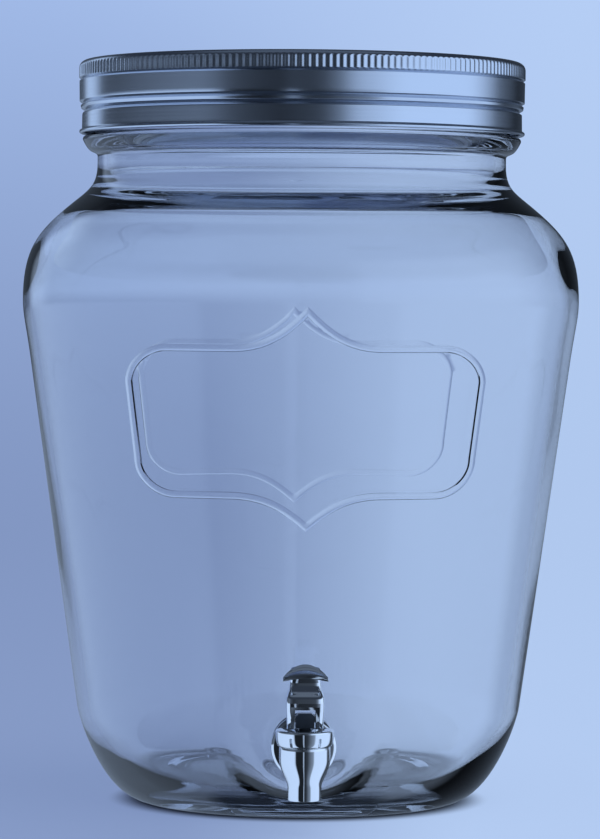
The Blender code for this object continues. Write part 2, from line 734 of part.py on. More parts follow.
def lid_outer_rings(bm):
    """The lid's outside from its panel down to the roll at the bottom of its skirt."""
    panel_height = LID_TOP_HEIGHT - LID_PANEL_STEP
    knurl_top = LID_TOP_HEIGHT - KNURL_TOP_DROP
    knurl_bottom = LID_TOP_HEIGHT - KNURL_BOTTOM_DROP
    skirt_top = knurl_bottom - KNURL_RUN_OUT
    curl_centre = LID_BOTTOM_HEIGHT + LID_CURL
    skirt_bottom = curl_centre + LID_CURL + LID_PLAIN_FOOT
    edge_centre = (LID_RADIUS - LID_EDGE_ROUND, LID_TOP_HEIGHT - LID_EDGE_ROUND)
    flutes = 2 * KNURL_FLUTES
    rings = [
        lid_ring(bm, LID_PANEL_RADIUS, panel_height),
        lid_ring(bm, LID_PANEL_RADIUS + LID_PANEL_RAMP, LID_TOP_HEIGHT),
    ]
    rings += [lid_ring(bm, *point) for point in arc(edge_centre, LID_EDGE_ROUND, 90, 0, 3)]
    rings.append(lid_ring(bm, LID_RADIUS, knurl_top, flutes, knurled=True))
    rings.append(lid_ring(bm, LID_RADIUS, knurl_bottom, flutes, knurled=True))
    for share in np.linspace(0, 1, LID_THREAD_ROWS + 1):
        height = skirt_top + (skirt_bottom - skirt_top) * share
        radius = LID_BAND_RADIUS + (LID_SKIRT_RADIUS - LID_BAND_RADIUS) * share
        rings.append(lid_ring(bm, radius, height, threaded=True))
    rings.append(lid_ring(bm, LID_SKIRT_RADIUS, curl_centre + LID_CURL))
    curl = arc((LID_SKIRT_RADIUS, curl_centre), LID_CURL, 30, -90, 3)
    rings += [lid_ring(bm, *point) for point in curl]
    return rings


def lid_inner_rings(bm):
    """The lid's inside from the bottom of its skirt up to its panel."""
    roof = LID_TOP_HEIGHT - LID_SHEET
    panel = roof - LID_PANEL_STEP
    inner_knurl = LID_RADIUS - KNURL_DEPTH - LID_SHEET
    inner_round = LID_EDGE_ROUND - LID_SHEET
    knurl_bottom = LID_TOP_HEIGHT - KNURL_BOTTOM_DROP
    return [
        lid_ring(bm, LID_SKIRT_BORE, LID_BOTTOM_HEIGHT + LID_CURL),
        lid_ring(bm, LID_SKIRT_BORE, knurl_bottom - inner_round),
        lid_ring(bm, inner_knurl, knurl_bottom),
        lid_ring(bm, inner_knurl, roof - inner_round),
        lid_ring(bm, inner_knurl - inner_round, roof),
        lid_ring(bm, LID_PANEL_RADIUS + LID_PANEL_RAMP - LID_SHEET, roof),
        lid_ring(bm, LID_PANEL_RADIUS - LID_SHEET, panel),
    ]


def make_lid(metal, parent):
    """The one-piece screw lid: stepped panel, knurled rim, rolled thread and curled edge."""
    bm = bmesh.new()
    rings = lid_outer_rings(bm) + lid_inner_rings(bm)
    for near, far in zip(rings, rings[1:]):
        if len(near) > len(far):
            skin(bm, far, near)
        else:
            skin(bm, near, far)
    bm.faces.new(rings[0])
    bm.faces.new(rings[-1])
    bmesh.ops.recalc_face_normals(bm, faces=bm.faces)
    return make_object("lid_shell", bm, parent, metal)


def make_gasket(compound, parent):
    """The sealing ring under the lid's rim, seated on the jar's lip."""
    top = LID_TOP_HEIGHT - LID_SHEET - SEAT_GAP
    outline = ring_outline(GASKET_INNER_RADIUS, GASKET_OUTER_RADIUS, top - GASKET_THICKNESS, top)
    return make_object("lid_gasket", turned(outline, LID_STEPS), parent, compound)


def body_outline():
    """The tap body from its nozzle to the spigot that the bonnet screws on to."""
    nozzle_top = (NOZZLE_RADIUS, NOZZLE_TOP_HEIGHT)
    belly = (BODY_RADIUS, BODY_BELLY_HEIGHT)
    points = [
        (0, NOZZLE_BOTTOM_HEIGHT),
        (NOZZLE_RADIUS - NOZZLE_CHAMFER, NOZZLE_BOTTOM_HEIGHT),
        (NOZZLE_RADIUS, NOZZLE_BOTTOM_HEIGHT + NOZZLE_CHAMFER),
        nozzle_top,
    ]
    points += curve(
        nozzle_top,
        along(nozzle_top, (0, 1), BODY_HANDLES[1]),
        along(belly, (0, -1), BODY_HANDLES[0]),
        belly,
        5,
    )
    points += [
        (BODY_RADIUS, BODY_SEAT_HEIGHT),
        (SPIGOT_RADIUS, BODY_SEAT_HEIGHT),
        (SPIGOT_RADIUS, SPIGOT_TOP_HEIGHT),
        (0, SPIGOT_TOP_HEIGHT),
    ]
    return points


def chamber_outline():
    """The way through the tap body: valve chamber, conical seat and outlet."""
    return [
        (0, NOZZLE_BOTTOM_HEIGHT - CUT_OVERRUN),
        (OUTLET_RADIUS, NOZZLE_BOTTOM_HEIGHT - CUT_OVERRUN),
        (OUTLET_RADIUS, SEAT_HEIGHT - SEAT_CONE),
        (SEAT_RADIUS, SEAT_HEIGHT),
        (CHAMBER_RADIUS, SEAT_HEIGHT),
        (CHAMBER_RADIUS, SPIGOT_TOP_HEIGHT + CUT_OVERRUN),
        (0, SPIGOT_TOP_HEIGHT + CUT_OVERRUN),
    ]


def shank_outline():
    """The threaded shank, the flange against the glass and the short neck in front of it."""
    rim_height = FLANGE_THICKNESS - FLANGE_RIM
    return [
        (0, SHANK_END_DEPTH),
        (SHANK_RADIUS - SHANK_CHAMFER, SHANK_END_DEPTH),
        (SHANK_RADIUS, SHANK_END_DEPTH + SHANK_CHAMFER),
        (SHANK_RADIUS, FLANGE_BACK_DEPTH),
        (FLANGE_RADIUS, FLANGE_BACK_DEPTH),
        (FLANGE_RADIUS, FLANGE_BACK_DEPTH + FLANGE_RIM),
        (FLANGE_RADIUS - rim_height, FLANGE_FRONT_DEPTH),
        (NECK_PIPE_RADIUS, FLANGE_FRONT_DEPTH),
        (NECK_PIPE_RADIUS, TAP_AXIS_DEPTH),
        (0, TAP_AXIS_DEPTH),
    ]


def make_tap_body(chrome, tap_axis, shank_axis, passage_axis):
    """The tap body: spout, valve chamber, flange and shank in one casting."""
    body = make_object("tap_body", turned(body_outline(), TAP_STEPS), tap_axis, chrome)
    shank = make_object("shank_form", turned(shank_outline(), TAP_STEPS), shank_axis)
    bonnet_room = make_object(
        "bonnet_room_form",
        rod(BONNET_RADIUS + RUN_GAP, BODY_SEAT_HEIGHT - RUN_GAP, BONNET_TOP_HEIGHT, TAP_STEPS),
        tap_axis,
    )
    combine(shank, "DIFFERENCE", bonnet_room)
    chamber = make_object("chamber_form", turned(chamber_outline(), TAP_STEPS), tap_axis)
    passage = make_object(
        "passage_form",
        rod(PASSAGE_RADIUS, SHANK_END_DEPTH - CUT_OVERRUN, TAP_AXIS_DEPTH, SMALL_STEPS),
        passage_axis,
    )
    combine(body, "UNION", shank)
    combine(body, "DIFFERENCE", chamber, passage)
    return body


def bonnet_outline():
    """The bonnet: a cup-shaped collar that screws over the spigot, with a hole for the stem."""
    foot = (BONNET_FOOT_RADIUS, BODY_SEAT_HEIGHT + SEAT_GAP)
    brim = (BONNET_RADIUS, BONNET_TOP_HEIGHT - BONNET_ROUND)
    stem_hole = STEM_RADIUS + RUN_GAP
    bore = SPIGOT_RADIUS + SEAT_GAP
    points = [foot]
    points += curve(
        foot,
        along(foot, (1, 1), BONNET_HANDLES[0]),
        along(brim, (0, -1), BONNET_HANDLES[1]),
        brim,
        4,
    )
    points += [
        (BONNET_RADIUS - BONNET_ROUND, BONNET_TOP_HEIGHT),
        (stem_hole, BONNET_TOP_HEIGHT),
        (stem_hole, ROOF_UNDERSIDE),
        (bore, ROOF_UNDERSIDE),
        (bore, BODY_SEAT_HEIGHT + SEAT_GAP),
    ]
    return points


def make_bonnet(chrome, tap_axis):
    """The bonnet with its ring of grip notches."""
    bonnet = make_object("tap_bonnet", turned(bonnet_outline(), TAP_STEPS), tap_axis, chrome)
    notches = bmesh.new()
    floor = BONNET_RADIUS - NOTCH_DEPTH
    for i in range(NOTCH_COUNT):
        angle = math.tau * (i + 0.5) / NOTCH_COUNT
        size = (BONNET_RADIUS - floor + CUT_OVERRUN, NOTCH_WIDTH, NOTCH_TOP_HEIGHT - NOTCH_BOTTOM_HEIGHT)
        centre = Vector((floor + size[0] / 2, 0, (NOTCH_TOP_HEIGHT + NOTCH_BOTTOM_HEIGHT) / 2))
        turn = Matrix.Rotation(angle - math.pi / 2, 4, "Z")
        place = turn @ Matrix.Translation(centre) @ Matrix.Diagonal((*size, 1))
        bmesh.ops.create_cube(notches, size=1, matrix=place)
    combine(bonnet, "DIFFERENCE", make_object("notch_form", notches, tap_axis))
    return bonnet


def make_seat_cup(silicone, tap_axis):
    """The silicone bell: rim clamped under the bonnet, thin wall, and a plug that shuts the seat."""
    rim_bottom = SPIGOT_TOP_HEIGHT + SEAT_GAP
    rim_top = rim_bottom + CUP_RIM
    cone_top = SEAT_HEIGHT - SEAT_RADIUS + CUP_RADIUS + SEAT_GAP * math.sqrt(2)
    cone_drop = CUP_RADIUS - CUP_TIP_RADIUS
    pocket_top = BUTTON_BOTTOM_HEIGHT + BUTTON_THICKNESS + SEAT_GAP
    pocket_bottom = BUTTON_BOTTOM_HEIGHT - SEAT_GAP
    bore = CUP_RADIUS - CUP_SKIN
    outline = [
        (0, cone_top - cone_drop),
        (CUP_TIP_RADIUS, cone_top - cone_drop),
        (CUP_RADIUS, cone_top),
        (CUP_RADIUS, rim_bottom),
        (SPIGOT_RADIUS, rim_bottom),
        (SPIGOT_RADIUS, rim_top),
        (bore, rim_top),
        (bore, CUP_FLOOR_HEIGHT),
        (BUTTON_NECK_RADIUS + SEAT_GAP, CUP_FLOOR_HEIGHT),
        (BUTTON_NECK_RADIUS + SEAT_GAP, pocket_top),
        (BUTTON_RADIUS + SEAT_GAP, pocket_top),
        (BUTTON_RADIUS + SEAT_GAP, pocket_bottom),
        (0, pocket_bottom),
    ]
    return make_object("seat_cup", turned(outline, SMALL_STEPS), tap_axis, silicone)


def make_stem(plastic, tap_axis, pin_axis):
    """The stem that lifts the seat cup: button, spring collar, rod and cross-drilled head."""
    outline = [
        (0, BUTTON_BOTTOM_HEIGHT),
        (BUTTON_RADIUS, BUTTON_BOTTOM_HEIGHT),
        (BUTTON_RADIUS, BUTTON_BOTTOM_HEIGHT + BUTTON_THICKNESS),
        (BUTTON_NECK_RADIUS, BUTTON_BOTTOM_HEIGHT + BUTTON_THICKNESS),
        (BUTTON_NECK_RADIUS, COLLAR_BOTTOM),
        (COLLAR_RADIUS, COLLAR_BOTTOM),
        (COLLAR_RADIUS, COLLAR_TOP),
        (STEM_RADIUS, COLLAR_TOP),
        (STEM_RADIUS, PIN_HEIGHT),
        (0, PIN_HEIGHT),
    ]
    stem = make_object("valve_stem", turned(outline, SMALL_STEPS), tap_axis, plastic)
    head = make_object("stem_head_form", stem_head(), tap_axis)
    hole_reach = HEAD_WIDTH / 2 + CUT_OVERRUN
    hole = make_object(
        "pin_hole_form",
        rod(PIN_RADIUS + SEAT_GAP, -hole_reach, hole_reach, SMALL_STEPS),
        pin_axis,
        turn=(0, math.pi / 2, 0),
    )
    combine(stem, "UNION", head)
    combine(stem, "DIFFERENCE", hole)
    return stem


def stem_head():
    """The flat head with chamfered shoulders that the lever's fork straddles."""
    half = HEAD_WIDTH / 2
    front = [
        (-half, HEAD_BOTTOM_HEIGHT),
        (half, HEAD_BOTTOM_HEIGHT),
        (half, HEAD_TOP_HEIGHT - HEAD_CHAMFER),
        (half - HEAD_CHAMFER, HEAD_TOP_HEIGHT),
        (HEAD_CHAMFER - half, HEAD_TOP_HEIGHT),
        (-half, HEAD_TOP_HEIGHT - HEAD_CHAMFER),
    ]
    return lofted([[(x, y, z) for x, z in front] for y in (-HEAD_DEPTH / 2, HEAD_DEPTH / 2)])


def spring_path():
    """Points of the spring's helix about the stem, from the collar to the bonnet's roof."""
    bottom = COLLAR_TOP + SEAT_GAP + SPRING_WIRE_RADIUS
    top = ROOF_UNDERSIDE - SEAT_GAP - SPRING_WIRE_RADIUS
    count = SPRING_TURNS * SPRING_POINTS_PER_TURN
    points = []
    for i in range(count + 1):
        angle = math.tau * i / SPRING_POINTS_PER_TURN
        height = bottom + (top - bottom) * i / count
        points.append((SPRING_RADIUS * math.cos(angle), SPRING_RADIUS * math.sin(angle), height))
    return points


def least_self_gap(points, wire_radius, skipped):
    """The least clear distance between turns of a wound wire, measured on its points."""
    places = np.array(points)
    gaps = []
    for i in range(len(places) - skipped):
        away = np.linalg.norm(places[i + skipped :] - places[i], axis=1)
        gaps.append(away.min())
    return min(gaps) - 2 * wire_radius


def make_spring(steel, tap_axis):
    """The return spring wound round the stem inside the cup."""
    points = spring_path()
    wire = bpy.data.curves.new("return_spring", "CURVE")
    wire.dimensions = "3D"
    wire.bevel_depth = SPRING_WIRE_RADIUS
    wire.bevel_resolution = 1
    wire.use_fill_caps = True
    spline = wire.splines.new("POLY")
    spline.points.add(len(points) - 1)
    for knot, place in zip(spline.points, points):
        knot.co = (*place, 1)
    wire.materials.append(steel)
    spring = bpy.data.objects.new("return_spring", wire)
    spring.parent = tap_axis
    bpy.context.scene.collection.objects.link(spring)
    gap = least_self_gap(points, SPRING_WIRE_RADIUS, SPRING_POINTS_PER_TURN // 2)
    print("return_spring: least gap to itself", round(gap, 5), "m")
    return spring


def cam_point(tilt):
    """Front lower edge of the fork: the pin rises evenly as this edge rolls on the bonnet."""
    reach = CAM_REST + CAM_GAIN * tilt
    forward = reach * math.sin(tilt) + CAM_GAIN * math.cos(tilt)
    height = -reach * math.cos(tilt) + CAM_GAIN * math.sin(tilt)
    return forward, height


def lever_section(height, half_width, front, back, squareness, lean=0):
    """A rounded section of the lever, from its front to its back at one height over the pin."""
    middle = (back - front) / 2
    half_depth = (back + front) / 2
    loop = []
    for i in range(LEVER_SECTION_POINTS):
        angle = math.tau * (i + 0.5) / LEVER_SECTION_POINTS
        x = half_width * math.copysign(abs(math.cos(angle)) ** (2 / squareness), math.cos(angle))
        y = half_depth * math.copysign(abs(math.sin(angle)) ** (2 / squareness), math.sin(angle))
        loop.append((x, middle + y, height + lean * y))
    return loop


def lever_loops():
    """Sections of the lever: the cam at its foot by rule, the rest by shares."""
    half_width = LEVER_WIDTH / 2
    foot_share = LEVER_SECTION_SHARES[0][0]
    squareness = LEVER_SECTION_SHARES[0][4]
    foot_top = LEVER_HEIGHT * foot_share
    loops = []
    for tilt in np.linspace(0, LEVER_TRAVEL, CAM_STEPS + 1):
        forward, height = cam_point(tilt)
        narrowing = 1 - (foot_top - height) / LEVER_HEIGHT / 2
        loops.append(lever_section(height, half_width * narrowing, forward, LEVER_HEEL, squareness))
    for height, width, front, back, squareness, lean in LEVER_SECTION_SHARES:
        loops.append(
            lever_section(
                LEVER_HEIGHT * height,
                half_width * width,
                LEVER_DEPTH * front,
                LEVER_HEEL * back,
                squareness,
                lean,
            )
        )
    return loops


def thumb_rest():
    """The dished thumb rest: it slopes up to the back, narrows in an arc and droops at its tips."""
    half = REST_WIDTH / 2
    loops = []
    for i in range(REST_STEPS + 1):
        side = -math.cos(math.pi * i / REST_STEPS)
        fullness = 1 - side**2
        length = REST_TIP_LENGTH + (REST_LENGTH - REST_TIP_LENGTH) * fullness
        thickness = REST_THICKNESS * (1 + math.sqrt(fullness)) / 2
        loop = []
        for along_share, lift_share, dish_share in REST_SECTION_SHARES:
            slope = length * along_share
            lift = thickness * lift_share - REST_DISH * dish_share * fullness
            y = slope * math.cos(REST_TILT) - lift * math.sin(REST_TILT) - REST_FRONT_DEPTH
            z = slope * math.sin(REST_TILT) + lift * math.cos(REST_TILT) + REST_FRONT_HEIGHT
            loop.append((half * side, y, z - REST_DROOP * side**2))
        loops.append(loop)
    return lofted(loops)


def make_lever(chrome, pin_axis):
    """The lever: a fork with cam feet, a recessed front, a waisted neck and a thumb rest."""
    lever = make_object("tap_lever", lofted(lever_loops()), pin_axis, chrome)
    rest = make_object("thumb_rest_form", thumb_rest(), pin_axis)
    reach = LEVER_DEPTH + LEVER_HEEL
    below = -CAM_REST - CUT_OVERRUN
    half_slot = LEVER_SLOT_WIDTH / 2
    half_recess = LEVER_RECESS_WIDTH / 2
    recess_floor = LEVER_RECESS_DEPTH - LEVER_DEPTH
    slot = make_object(
        "slot_form",
        box((-half_slot, -reach, below), (half_slot, reach, LEVER_SLOT_TOP)),
        pin_axis,
    )
    recess = make_object(
        "recess_form",
        box((-half_recess, -reach, below), (half_recess, recess_floor, LEVER_RECESS_TOP)),
        pin_axis,
    )
    hole = make_object(
        "lever_hole_form",
        rod(PIN_RADIUS + SEAT_GAP, -LEVER_WIDTH, LEVER_WIDTH, SMALL_STEPS),
        pin_axis,
        turn=(0, math.pi / 2, 0),
    )
    combine(lever, "UNION", rest)
    combine(lever, "DIFFERENCE", slot, recess, hole)
    return lever


def make_pin(steel, pin_axis):
    """The pin across the fork and the stem's head."""
    bm = rod(PIN_RADIUS, -PIN_LENGTH / 2, PIN_LENGTH / 2, SMALL_STEPS)
    return make_object("lever_pin", bm, pin_axis, steel, turn=(0, math.pi / 2, 0))


def make_washers(silicone, shank_axis):
    """The two washers that clamp the glass between the flange and the nut."""
    bore = SHANK_RADIUS + SEAT_GAP
    outer_back = BOSS_FACE_DEPTH + SEAT_GAP
    inner_front = BOSS_BACK_DEPTH - SEAT_GAP
    outer = ring_outline(bore, OUTER_WASHER_RADIUS, outer_back, outer_back + WASHER_THICKNESS)
    inner = ring_outline(bore, INNER_WASHER_RADIUS, inner_front - WASHER_THICKNESS, inner_front)
    make_object("outer_washer", turned(outer, TAP_STEPS), shank_axis, silicone)
    make_object("inner_washer", turned(inner, TAP_STEPS), shank_axis, silicone)


def make_nut(plastic, shank_axis):
    """The hexagon nut with a flange that pulls the tap up inside the jar."""
    flange = rod(NUT_FLANGE_RADIUS, NUT_FRONT_DEPTH - NUT_FLANGE, NUT_FRONT_DEPTH, TAP_STEPS)
    nut = make_object("shank_nut", flange, shank_axis, plastic)
    corner_radius = NUT_HALF_FLATS / math.cos(math.pi / 6)
    hexagon = make_object(
        "hexagon_form",
        rod(corner_radius, NUT_BACK_DEPTH, NUT_FRONT_DEPTH - NUT_FLANGE / 2, 6),
        shank_axis,
    )
    bore = make_object(
        "nut_bore_form",
        rod(
            SHANK_RADIUS + SEAT_GAP,
            NUT_BACK_DEPTH - CUT_OVERRUN,
            NUT_FRONT_DEPTH + CUT_OVERRUN,
            TAP_STEPS,
        ),
        shank_axis,
    )
    combine(nut, "UNION", hexagon)
    combine(nut, "DIFFERENCE", bore)
    return nut


def main():
    clear_scene()
    glass = make_material("clear_glass", (0.86, 0.90, 0.95), 0.03, 0.0, alpha=0.25)
    lid_metal = make_material("bright_lid_metal", (0.62, 0.65, 0.70), 0.28, 1.0)
    chrome = make_material("chrome_plate", (0.80, 0.82, 0.86), 0.06, 1.0)
    compound = make_material("sealing_compound", (0.82, 0.82, 0.80), 0.60, 0.0)
    silicone = make_material("grey_silicone", (0.30, 0.31, 0.33), 0.55, 0.0)
    plastic = make_material("black_plastic", (0.05, 0.06, 0.07), 0.40, 0.0)
    steel = make_material("spring_steel", (0.55, 0.56, 0.58), 0.25, 1.0)

    jar_axis = make_empty("jar_axis", (0, JAR_AXIS_Y, 0))
    tap_axis = make_empty("tap_axis", (0, -TAP_AXIS_DEPTH, 0), jar_axis)
    pin_axis = make_empty("pin_axis", (0, 0, PIN_HEIGHT), tap_axis)
    shank_axis = make_empty("shank_axis", (0, 0, SHANK_HEIGHT), jar_axis)
    shank_axis.rotation_euler = (math.pi / 2, 0, 0)
    passage_axis = make_empty("passage_axis", (0, 0, PASSAGE_HEIGHT), jar_axis)
    passage_axis.rotation_euler = (math.pi / 2, 0, 0)

    make_jar(glass, jar_axis, shank_axis)
    make_lid(lid_metal, jar_axis)
    make_gasket(compound, jar_axis)
    make_tap_body(chrome, tap_axis, shank_axis, passage_axis)
    make_bonnet(chrome, tap_axis)
    make_seat_cup(silicone, tap_axis)
    make_stem(plastic, tap_axis, pin_axis)
    make_spring(steel, tap_axis)
    make_lever(chrome, pin_axis)
    make_pin(steel, pin_axis)
    make_washers(silicone, shank_axis)
    make_nut(plastic, shank_axis)


main()
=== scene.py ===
# %% [markdown]
# # A glass drinks dispenser with a lever tap
#
# The real object is a pressed glass jar, a screw lid rolled from sheet metal and a small chromed tap.
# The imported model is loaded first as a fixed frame: it gives every piece its place and its joints.
# Each piece is then modelled again at full detail in the same place, and takes over from the plain one.

# %% Load the frame
import math

import bpy
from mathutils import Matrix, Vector
from mathutils.geometry import interpolate_bezier


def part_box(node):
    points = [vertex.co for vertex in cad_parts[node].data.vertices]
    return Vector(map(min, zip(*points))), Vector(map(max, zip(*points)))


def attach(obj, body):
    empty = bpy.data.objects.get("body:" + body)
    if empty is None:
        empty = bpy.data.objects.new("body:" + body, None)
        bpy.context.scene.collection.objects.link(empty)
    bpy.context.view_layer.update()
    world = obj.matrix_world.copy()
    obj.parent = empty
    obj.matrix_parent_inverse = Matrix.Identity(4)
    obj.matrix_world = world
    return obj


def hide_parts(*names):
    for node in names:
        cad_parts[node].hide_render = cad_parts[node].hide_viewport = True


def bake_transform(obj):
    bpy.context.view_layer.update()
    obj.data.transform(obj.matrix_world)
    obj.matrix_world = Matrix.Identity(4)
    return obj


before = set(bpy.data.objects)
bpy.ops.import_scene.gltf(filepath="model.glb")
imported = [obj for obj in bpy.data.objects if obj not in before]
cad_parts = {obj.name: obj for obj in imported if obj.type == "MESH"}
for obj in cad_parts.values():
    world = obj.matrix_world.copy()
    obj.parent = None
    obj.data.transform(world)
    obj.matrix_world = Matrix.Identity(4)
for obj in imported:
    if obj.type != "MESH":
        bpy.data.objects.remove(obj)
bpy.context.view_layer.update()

# %% [markdown]
# ## Two axes that everything is turned about
#
# The jar and the lid share one upright axis. The tap's shank is a level axis that runs forward
# through the front wall of the jar, so places along it are counted as depths in front of the jar's axis.

# %% Read the axes from the frame
lid_low, lid_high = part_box("lid_shell")
washer_low, washer_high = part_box("outer_washer")
body_low, body_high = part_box("tap_bonnet")
jar_foot = Vector((0, (lid_low.y + lid_high.y) / 2, 0))
shank_height = (washer_low.z + washer_high.z) / 2
shank_foot = Vector((0, jar_foot.y, shank_height))
tap_foot = Vector((0, (body_low.y + body_high.y) / 2, 0))
UP = Vector((0, 0, 1))
FORWARD = Vector((0, -1, 0))
RIGHT = Vector((1, 0, 0))
TURN_STEPS = 192
FINE_STEPS = 96
print("jar axis:", jar_foot, "shank axis:", shank_foot, "tap axis:", tap_foot)

# %% [markdown]
# ## Drawing a section and turning it
#
# Most of the pieces are round, so each starts as its half section. A single vertex is walked along the
# section with the extrude tool, and the spin tool then turns the line into a solid. It is the way a
# potter's template or a lathe works, and it gives even rows of faces that later steps can push about.

# %% Curves and arcs for a section
def bend(start, start_handle, end_handle, end, count):
    """Points of a smooth bend from one (radius, height) to another, without its first point."""
    knots = [Vector((*point, 0)) for point in (start, start_handle, end_handle, end)]
    return [(point.x, point.y) for point in interpolate_bezier(*knots, count + 1)[1:]]


def rounding(centre, radius, first, last, count):
    """Points of an arc between two angles in degrees, with both of its ends."""
    angles = [math.radians(first + (last - first) * i / count) for i in range(count + 1)]
    return [(centre[0] + radius * math.cos(a), centre[1] + radius * math.sin(a)) for a in angles]


def straight(start, end, count):
    """Evenly spaced points on a line, without its first point."""
    shares = [(i + 1) / count for i in range(count)]
    return [tuple(a + (b - a) * share for a, b in zip(start, end)) for share in shares]


def moved(point, direction, distance):
    """A point of a section moved along a direction."""
    return (point[0] + direction[0] * distance, point[1] + direction[1] * distance)


# %% Walk a vertex and spin the line
def only_select(piece):
    """Leave object mode with one piece selected, because operators act on all that is selected."""
    if bpy.context.mode != "OBJECT":
        bpy.ops.object.mode_set(mode="OBJECT")
    bpy.ops.object.select_all(action="DESELECT")
    if piece:
        piece.select_set(True)
        bpy.context.view_layer.objects.active = piece


def choose(piece, kind, chosen):
    """Select in code only the chosen edges or faces of a piece, and enter edit mode."""
    only_select(piece)
    bpy.context.tool_settings.mesh_select_mode = (False, kind == "EDGE", kind == "FACE")
    for part in (piece.data.vertices, piece.data.edges, piece.data.polygons):
        part.foreach_set("select", [False] * len(part))
    for item in piece.data.edges if kind == "EDGE" else piece.data.polygons:
        item.select = chosen(item)
    bpy.ops.object.mode_set(mode="EDIT")
    bpy.ops.mesh.select_mode(type=kind)


def walk(name, points, closed):
    """Walk one vertex through the points; it leaves a line of edges behind it."""
    only_select(None)
    bpy.ops.mesh.primitive_plane_add(size=0.001)
    piece = bpy.context.object
    piece.name = name
    bpy.ops.object.mode_set(mode="EDIT")
    bpy.ops.mesh.select_mode(type="VERT")
    bpy.ops.mesh.merge(type="CENTER")
    bpy.ops.transform.translate(value=points[0])
    for near, far in zip(points, points[1:]):
        bpy.ops.mesh.extrude_region_move(TRANSFORM_OT_translate={"value": far - near})
    if closed:
        bpy.ops.mesh.extrude_region_move(TRANSFORM_OT_translate={"value": points[0] - points[-1]})
        bpy.ops.mesh.select_all(action="SELECT")
        bpy.ops.mesh.remove_doubles(threshold=0.000001)
    return piece


def turn(name, section, steps, foot=jar_foot, run=UP, side=RIGHT, closed=True):
    """Turn a half section of (radius, distance along the axis) into a solid."""
    points = [foot + side * radius + run * height for radius, height in section]
    piece = walk(name, points, closed)
    bpy.ops.mesh.select_all(action="SELECT")
    bpy.ops.mesh.spin(steps=steps, angle=math.tau, center=foot, axis=run)
    bpy.ops.mesh.select_all(action="SELECT")
    bpy.ops.mesh.remove_doubles(threshold=0.000002)
    bpy.ops.mesh.normals_make_consistent(inside=False)
    bpy.ops.object.mode_set(mode="OBJECT")
    return piece


# %% Join, cut and finish a shape
def boolean(piece, tool, operation):
    """Join a tool shape to a piece or cut it out, and throw the tool away."""
    only_select(piece)
    modifier = piece.modifiers.new(operation, "BOOLEAN")
    modifier.operation = operation
    modifier.solver = "EXACT"
    modifier.object = tool
    bpy.ops.object.modifier_apply(modifier=modifier.name)
    bpy.data.objects.remove(tool, do_unlink=True)


def drill(piece, section, foot, run, side=RIGHT, steps=FINE_STEPS):
    """Cut a turned shape out of a piece."""
    boolean(piece, turn("drill_tool", section, steps, foot, run, side), "DIFFERENCE")


def soften_edges(piece, width, segments=2, angle=40):
    """Round every edge sharper than an angle, as a polished casting has them."""
    only_select(piece)
    modifier = piece.modifiers.new("edges", "BEVEL")
    modifier.width = width
    modifier.segments = segments
    modifier.limit_method = "ANGLE"
    modifier.angle_limit = math.radians(angle)
    modifier.harden_normals = False
    bpy.ops.object.modifier_apply(modifier=modifier.name)


def finish_piece(piece, finish, body, stands_for, angle=35):
    """Shade a piece, give it its finish, put it on its moving body and retire the plain one."""
    only_select(piece)
    bpy.ops.object.shade_smooth_by_angle(angle=math.radians(angle))
    piece.data.materials.clear()
    piece.data.materials.append(finish)
    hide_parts(stands_for)
    if body:
        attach(piece, body)
    piece.data.calc_loop_triangles()
    print(piece.name, "on", body, "has", len(piece.data.loop_triangles), "triangles")


# %% [markdown]
# ## Finishes
#
# Each finish is a Principled shader with a little procedural texture, read from Object coordinates so
# that it stays on the surface when a piece moves. What is the same all over is set on the shader itself.

# %% Start a finish
def new_finish(name, colour, roughness, metallic=0.0):
    """A material with its Principled shader and helpers to add nodes to it."""
    finish = bpy.data.materials.new(name)
    finish.use_nodes = True
    shader = finish.node_tree.nodes["Principled BSDF"]
    shader.inputs["Base Color"].default_value = (*colour, 1)
    shader.inputs["Roughness"].default_value = roughness
    shader.inputs["Metallic"].default_value = metallic
    return finish, shader


def add_node(finish, kind, **settings):
    """Add a node, set its named inputs, and return it."""
    node = finish.node_tree.nodes.new(kind)
    for name, value in settings.items():
        node.inputs[name.replace("_", " ")].default_value = value
    return node


def link(finish, source, target):
    """Join an output socket to an input socket."""
    finish.node_tree.links.new(source, target)


def noise_of(finish, scale, detail=2.0, stretch=(1, 1, 1)):
    """Noise on Object coordinates, stretched by a Mapping node."""
    place = add_node(finish, "ShaderNodeTexCoord")
    mapping = add_node(finish, "ShaderNodeMapping", Scale=stretch)
    noise = add_node(finish, "ShaderNodeTexNoise", Scale=scale, Detail=detail)
    link(finish, place.outputs["Object"], mapping.inputs["Vector"])
    link(finish, mapping.outputs["Vector"], noise.inputs["Vector"])
    return noise.outputs["Fac"]


def spread(finish, value, low, high):
    """Map a noise value from its middle range to a low and a high value."""
    reach = add_node(finish, "ShaderNodeMapRange", From_Min=0.3, From_Max=0.7, To_Min=low, To_Max=high)
    link(finish, value, reach.inputs["Value"])
    return reach.outputs["Result"]


def bump_from(finish, shader, value, depth):
    """Raise the surface by a value, up to a depth in metres."""
    bump = add_node(finish, "ShaderNodeBump", Strength=1.0, Distance=depth)
    link(finish, value, bump.inputs["Height"])
    link(finish, bump.outputs["Normal"], shader.inputs["Normal"])


# %% [markdown]
# ### Clear pressed glass
#
# Pressed glass is clear but never quite flat: the mould leaves slow waves in it, and where one looks
# along a thick wall it turns dark. The waves are a weak bump, and the tint comes from absorption
# inside the solid, so it deepens with the length of the way through the glass.

